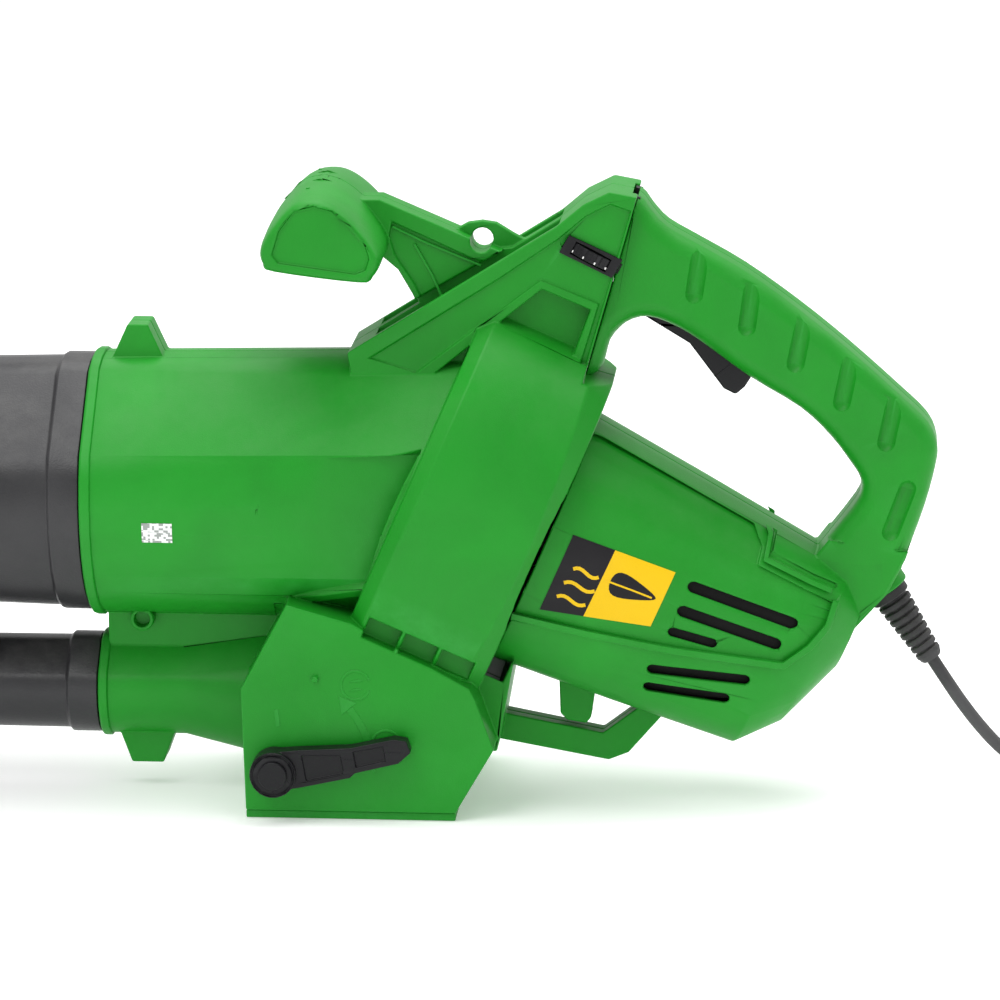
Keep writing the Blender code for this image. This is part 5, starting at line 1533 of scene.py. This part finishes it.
@dataclass
class TubesAndWheels:
    """The twin tubes, their bridges, the base frame and the guide wheels."""

    palette: Palette

    def rounded(self, node: str, material: bpy.types.Material, slot: Slot, width: float,
                body: Body = Body.HOUSING) -> bpy.types.Object:
        """Replace a node by a copy of it with rounded edges."""
        piece = copy_of(node)
        soften(tidy_mesh(piece, 0.00005), width, 3)
        return dress(piece, material, slot, body, node)

    def wheels(self) -> None:
        """Detail the guide wheels with tread grooves and a sunken ring in the outer face."""
        for word, side in SIDES.items():
            node = "guide_wheel_" + word
            low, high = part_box(node)
            centre = (Vector(low) + Vector(high)) / 2.0
            wheel = copy_of(node)
            cuts = [turned("tread", [(0.0250, -0.0007), (0.0250, 0.0007), (0.0193, 0.0004),
                                     (0.0193, -0.0004)], centre + SIDE * offset, (0, 1, 0), 48,
                           ring=True) for offset in (-0.0028, 0.0, 0.0028)]
            outer = centre + SIDE * (0.0060 * side)
            cuts.append(turned("dish", [(0.0155, 0.0020), (0.0150, -0.0016), (0.0070, -0.0016),
                                        (0.0065, 0.0020)], outer, (0, side, 0), 48, ring=True))
            combine(wheel, cuts, Merge.CUT)
            soften(tidy_mesh(wheel, 0.00003), 0.0003, 2)
            body = Body.WHEEL_LEFT if side < 0 else Body.WHEEL_RIGHT
            dress(wheel, self.palette.wheel, Slot.BLACK, body, node)

    def build(self) -> None:
        """Build and dress tubes, bridges, base frame and wheels."""
        for node in ("suction_tube_rear", "suction_tube_front", "blower_tube_rear",
                     "blower_nozzle"):
            self.rounded(node, self.palette.tube, Slot.BLACK, 0.0006)
        self.rounded("base_frame", self.palette.green, Slot.BLACK, 0.0006)
        for node in ("tube_bridge_rear", "tube_bridge_front", "axle_holder"):
            self.rounded(node, self.palette.black, Slot.BLACK, 0.0010)
        for node in ("axle_cap_left", "axle_cap_right"):
            self.rounded(node, self.palette.black, Slot.BLACK, 0.0006)
        self.wheels()


# ---------------------------------------------------------------- cord

@dataclass
class CordSet:
    """The strain relief, the free cord and its plug."""

    palette: Palette
    diameter: float = 0.0065
    relief_base: Vector = field(default_factory=lambda: Vector((0.262, 0.0, 0.106)))
    relief_way: Vector = field(default_factory=lambda: Vector((0.56, 0.0, -0.83)).normalized())
    relief_length: float = 0.042
    route: Sequence[tuple[float, float, float]] = (
        (0.2855, 0.000, 0.0710), (0.2925, 0.000, 0.0604), (0.3005, 0.000, 0.0488),
        (0.3095, 0.001, 0.0370), (0.3195, 0.003, 0.0258), (0.3305, 0.007, 0.0163),
        (0.3425, 0.013, 0.0092), (0.3545, 0.021, 0.0052), (0.3660, 0.031, 0.0036),
        (0.3755, 0.043, 0.0034), (0.3820, 0.057, 0.0035), (0.3855, 0.072, 0.0046),
        (0.3865, 0.087, 0.0075), (0.3860, 0.102, 0.0112), (0.3850, 0.116, 0.0140),
        (0.3842, 0.129, 0.0149), (0.3838, 0.142, 0.0150))

    def smooth_route(self, count: int) -> list[Vector]:
        """Return points along a smooth curve through the route."""
        points = [Vector(point) for point in self.route]
        points = [2 * points[0] - points[1]] + points + [2 * points[-1] - points[-2]]
        spans = len(points) - 3
        result = []
        for step in range(count + 1):
            place = min(step / count * spans, spans - 1e-9)
            index = int(place)
            part = place - index
            first, second, third, fourth = points[index:index + 4]
            curve = 2 * second + (third - first) * part
            curve += (2 * first - 5 * second + 4 * third - fourth) * part ** 2
            curve += (3 * second - first - 3 * third + fourth) * part ** 3
            result.append(curve / 2.0)
        return result

    def relief(self) -> None:
        """Make the ribbed, tapered strain relief."""
        length = self.relief_length
        profile = [(0.0, length - 0.0002), (0.0048, length - 0.0002), (0.0056, length - 0.0012)]
        ribs = 8
        pitch = (length - 0.008) / ribs
        for index in range(ribs):
            top = length - 0.003 - index * pitch
            radius = 0.0062 + 0.0027 * (index + 1) / ribs
            core = radius - 0.0018
            profile += [(radius - 0.0003, top), (radius, top - 0.0004),
                        (radius, top - pitch * 0.55), (radius - 0.0003, top - pitch * 0.62),
                        (core, top - pitch * 0.68), (core, top - pitch * 0.96)]
        profile += [(0.0095, 0.0046), (0.0100, 0.0040), (0.0100, 0.0004), (0.0065, 0.0004),
                    (0.0065, -0.0062), (0.0088, -0.0062), (0.0088, -0.0098), (0.0, -0.0098)]
        relief = turned("strain_relief_ribbed", profile, self.relief_base, self.relief_way, 64)
        bpy.ops.object.shade_smooth_by_angle(angle=SMOOTH_ANGLE)
        dress(relief, self.palette.rubber, Slot.RUBBER, Body.HOUSING, "strain_relief")

    def cord(self) -> None:
        """Lay the free cord along its route, with its plug on the end."""
        path = self.smooth_route(120)
        cord = swept("mains_cord", path, self.diameter / 2.0, 6)
        bpy.ops.object.shade_smooth_by_angle(angle=math.radians(60.0))
        dress(cord, self.palette.rubber, Slot.RUBBER, Body.HOUSING, "cord")
        plug = copy_of("plug")
        low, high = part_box("plug")
        middle = (Vector(low) + Vector(high)) / 2.0
        ridges = []
        for index in range(4):
            y = low[1] + 0.0125 + 0.0022 * index
            ridges.append(turned("ridge", [(0.0165, -0.0005), (0.0165, 0.0005), (0.0112, 0.0003),
                                           (0.0112, -0.0003)], (middle.x, y, 0.0150), (0, 1, 0),
                                 40, ring=True))
        combine(plug, ridges, Merge.CUT)
        soften(tidy_mesh(plug, 0.00003), 0.0005, 2)
        dress(plug, self.palette.rubber, Slot.RUBBER, Body.HOUSING, "plug")

    def build(self) -> None:
        """Build and dress the cord set."""
        self.relief()
        self.cord()


# ---------------------------------------------------------------- working parts inside

@dataclass
class InnerParts:
    """The motor, fan, screws and electrics, which keep their CAD solids."""

    palette: Palette

    def build(self) -> None:
        """Dress the nodes that are kept and round the fan's edges."""
        kept = {
            self.palette.steel: ("housing_screw_top", "housing_screw_web", "housing_screw_foot",
                                 "motor_screw_1", "motor_screw_2", "wheel_axle", "rotor_shaft",
                                 "impeller_nut", "bearing_front", "bearing_rear", "trigger_pin",
                                 "trigger_spring", "flap_shaft", "plug_pin_left",
                                 "plug_pin_right"),
            self.palette.lamination: ("motor_stator",),
            self.palette.copper: ("armature", "commutator"),
            self.palette.carbon: ("carbon_brush_left", "carbon_brush_right"),
            self.palette.board: ("speed_board", "speed_potentiometer"),
            self.palette.capacitor: ("suppression_capacitor",),
            self.palette.black: ("fan_back_plate", "motor_end_cap", "air_guide",
                                 "brush_holder_left",
                                 "brush_holder_right", "trigger_switch", "cord_clamp"),
            self.palette.rubber: ("internal_lead",),
        }
        for material, nodes in kept.items():
            for node in nodes:
                thing = frame["nodes"][node]
                thing.data.materials.clear()
                thing.data.materials.append(material)
                LOG.info("%s: kept, %s", node, material.name)
        fan = copy_of("impeller")
        soften(tidy_mesh(fan, 0.00005), 0.0004, 2)
        dress(fan, self.palette.black, Slot.BLACK, Body.ROTOR, "impeller")


@dataclass
class Stickers:
    """The small printed sticker on the suction duct."""

    palette: Palette

    def build(self) -> None:
        """Lay the sticker on the duct's side."""
        outline = [(-0.1030, 0.1490), (-0.0880, 0.1490), (-0.0880, 0.1390), (-0.1030, 0.1390)]
        sticker = slab("duct_sticker", outline, -0.0750, -0.0500)
        sections = FrontHousing(self.palette)
        tools = []
        for lift in (0.0003, -0.0004):
            rings = []
            for x in (-0.110, -0.080):
                grow = 0.002 * (x - sections.duct_front) / 0.176 + lift
                half = sections.duct_section(x, sections.duct_radius + grow,
                                             sections.duct_height + grow - lift, -1.0)
                kept = [point for point in half if abs(point.y) > 0.030]
                rings.append(kept + [Vector((x, -0.030, kept[-1].z)),
                                     Vector((x, -0.030, kept[0].z))])
            tools.append(loft("duct_side", rings))
        combine(sticker, tools[:1], Merge.KEEP)
        combine(sticker, tools[1:], Merge.CUT)
        tidy_mesh(sticker)
        dress(sticker, self.palette.patch, Slot.BLACK, Body.HOUSING)


# ---------------------------------------------------------------- studio

@dataclass
class Studio:
    """A pale floor, soft lights and the camera."""

    aim: Vector = field(default_factory=lambda: Vector((0.0686, 0.0, 0.1488)))
    distance: float = 2.6
    azimuth: float = math.radians(4.0)
    elevation: float = math.radians(12.5)
    lens: float = 187.2

    def floor(self) -> None:
        """Lay the flat floor."""
        bpy.ops.mesh.primitive_plane_add(size=14.0, location=(0.0, 0.0, -0.0002))
        floor = settle(bpy.context.object)
        floor.name = "studio_floor"
        material = bpy.data.materials.new("studio_floor")
        material.use_nodes = True
        shader = material.node_tree.nodes["Principled BSDF"]
        shader.inputs["Base Color"].default_value = (0.94, 0.94, 0.94, 1.0)
        shader.inputs["Roughness"].default_value = 0.75
        shader.inputs["Emission Color"].default_value = (1.0, 1.0, 1.0, 1.0)
        shader.inputs["Emission Strength"].default_value = 0.26
        floor.data.materials.append(material)

    def light(self, name: str, place: Sequence[float], size: float, power: float,
              target: Sequence[float] = (0.05, 0.0, 0.15)) -> None:
        """Hang one square soft light that looks at a target."""
        data = bpy.data.lights.new(name, "AREA")
        data.size = size
        data.energy = power
        lamp = bpy.data.objects.new(name, data)
        lamp.location = place
        lamp.rotation_euler = (Vector(target) - Vector(place)).to_track_quat("-Z", "Y").to_euler()
        bpy.context.scene.collection.objects.link(lamp)

    def camera(self) -> None:
        """Set the camera."""
        data = bpy.data.cameras.new("camera")
        data.lens = self.lens
        data.sensor_width = 36.0
        data.clip_end = 30.0
        camera = bpy.data.objects.new("camera", data)
        flat = math.cos(self.elevation)
        way = Vector((math.sin(self.azimuth) * flat, -math.cos(self.azimuth) * flat,
                      math.sin(self.elevation)))
        camera.location = self.aim + way * self.distance
        camera.rotation_euler = (-way).to_track_quat("-Z", "Y").to_euler()
        bpy.context.scene.collection.objects.link(camera)
        bpy.context.scene.camera = camera

    def build(self) -> None:
        """Set up the studio."""
        self.floor()
        world = bpy.data.worlds.new("studio")
        world.use_nodes = True
        world.node_tree.nodes["Background"].inputs[0].default_value = (1.0, 1.0, 1.0, 1.0)
        world.node_tree.nodes["Background"].inputs[1].default_value = 0.74
        bpy.context.scene.world = world
        bpy.context.scene.view_settings.view_transform = "Standard"
        self.light("key", (-0.9, -1.2, 2.1), 1.2, 19.0)
        self.light("top", (0.2, 0.4, 2.3), 2.2, 46.0)
        self.light("rim", (1.4, 0.7, 0.9), 0.9, 3.0)
        self.camera()


def main() -> None:
    """Build the machine's visible pieces in order."""
    logging.basicConfig(level=logging.INFO, format="%(message)s")
    palette = Palette()
    for part in (CordSet(palette), FrontHousing(palette), RearHousing(palette), Controls(palette),
                 TubesAndWheels(palette), InnerParts(palette), Stickers(palette)):
        LOG.info("building %s", type(part).__name__)
        part.build()
    Studio().build()


if __name__ == "__main__":
    main()
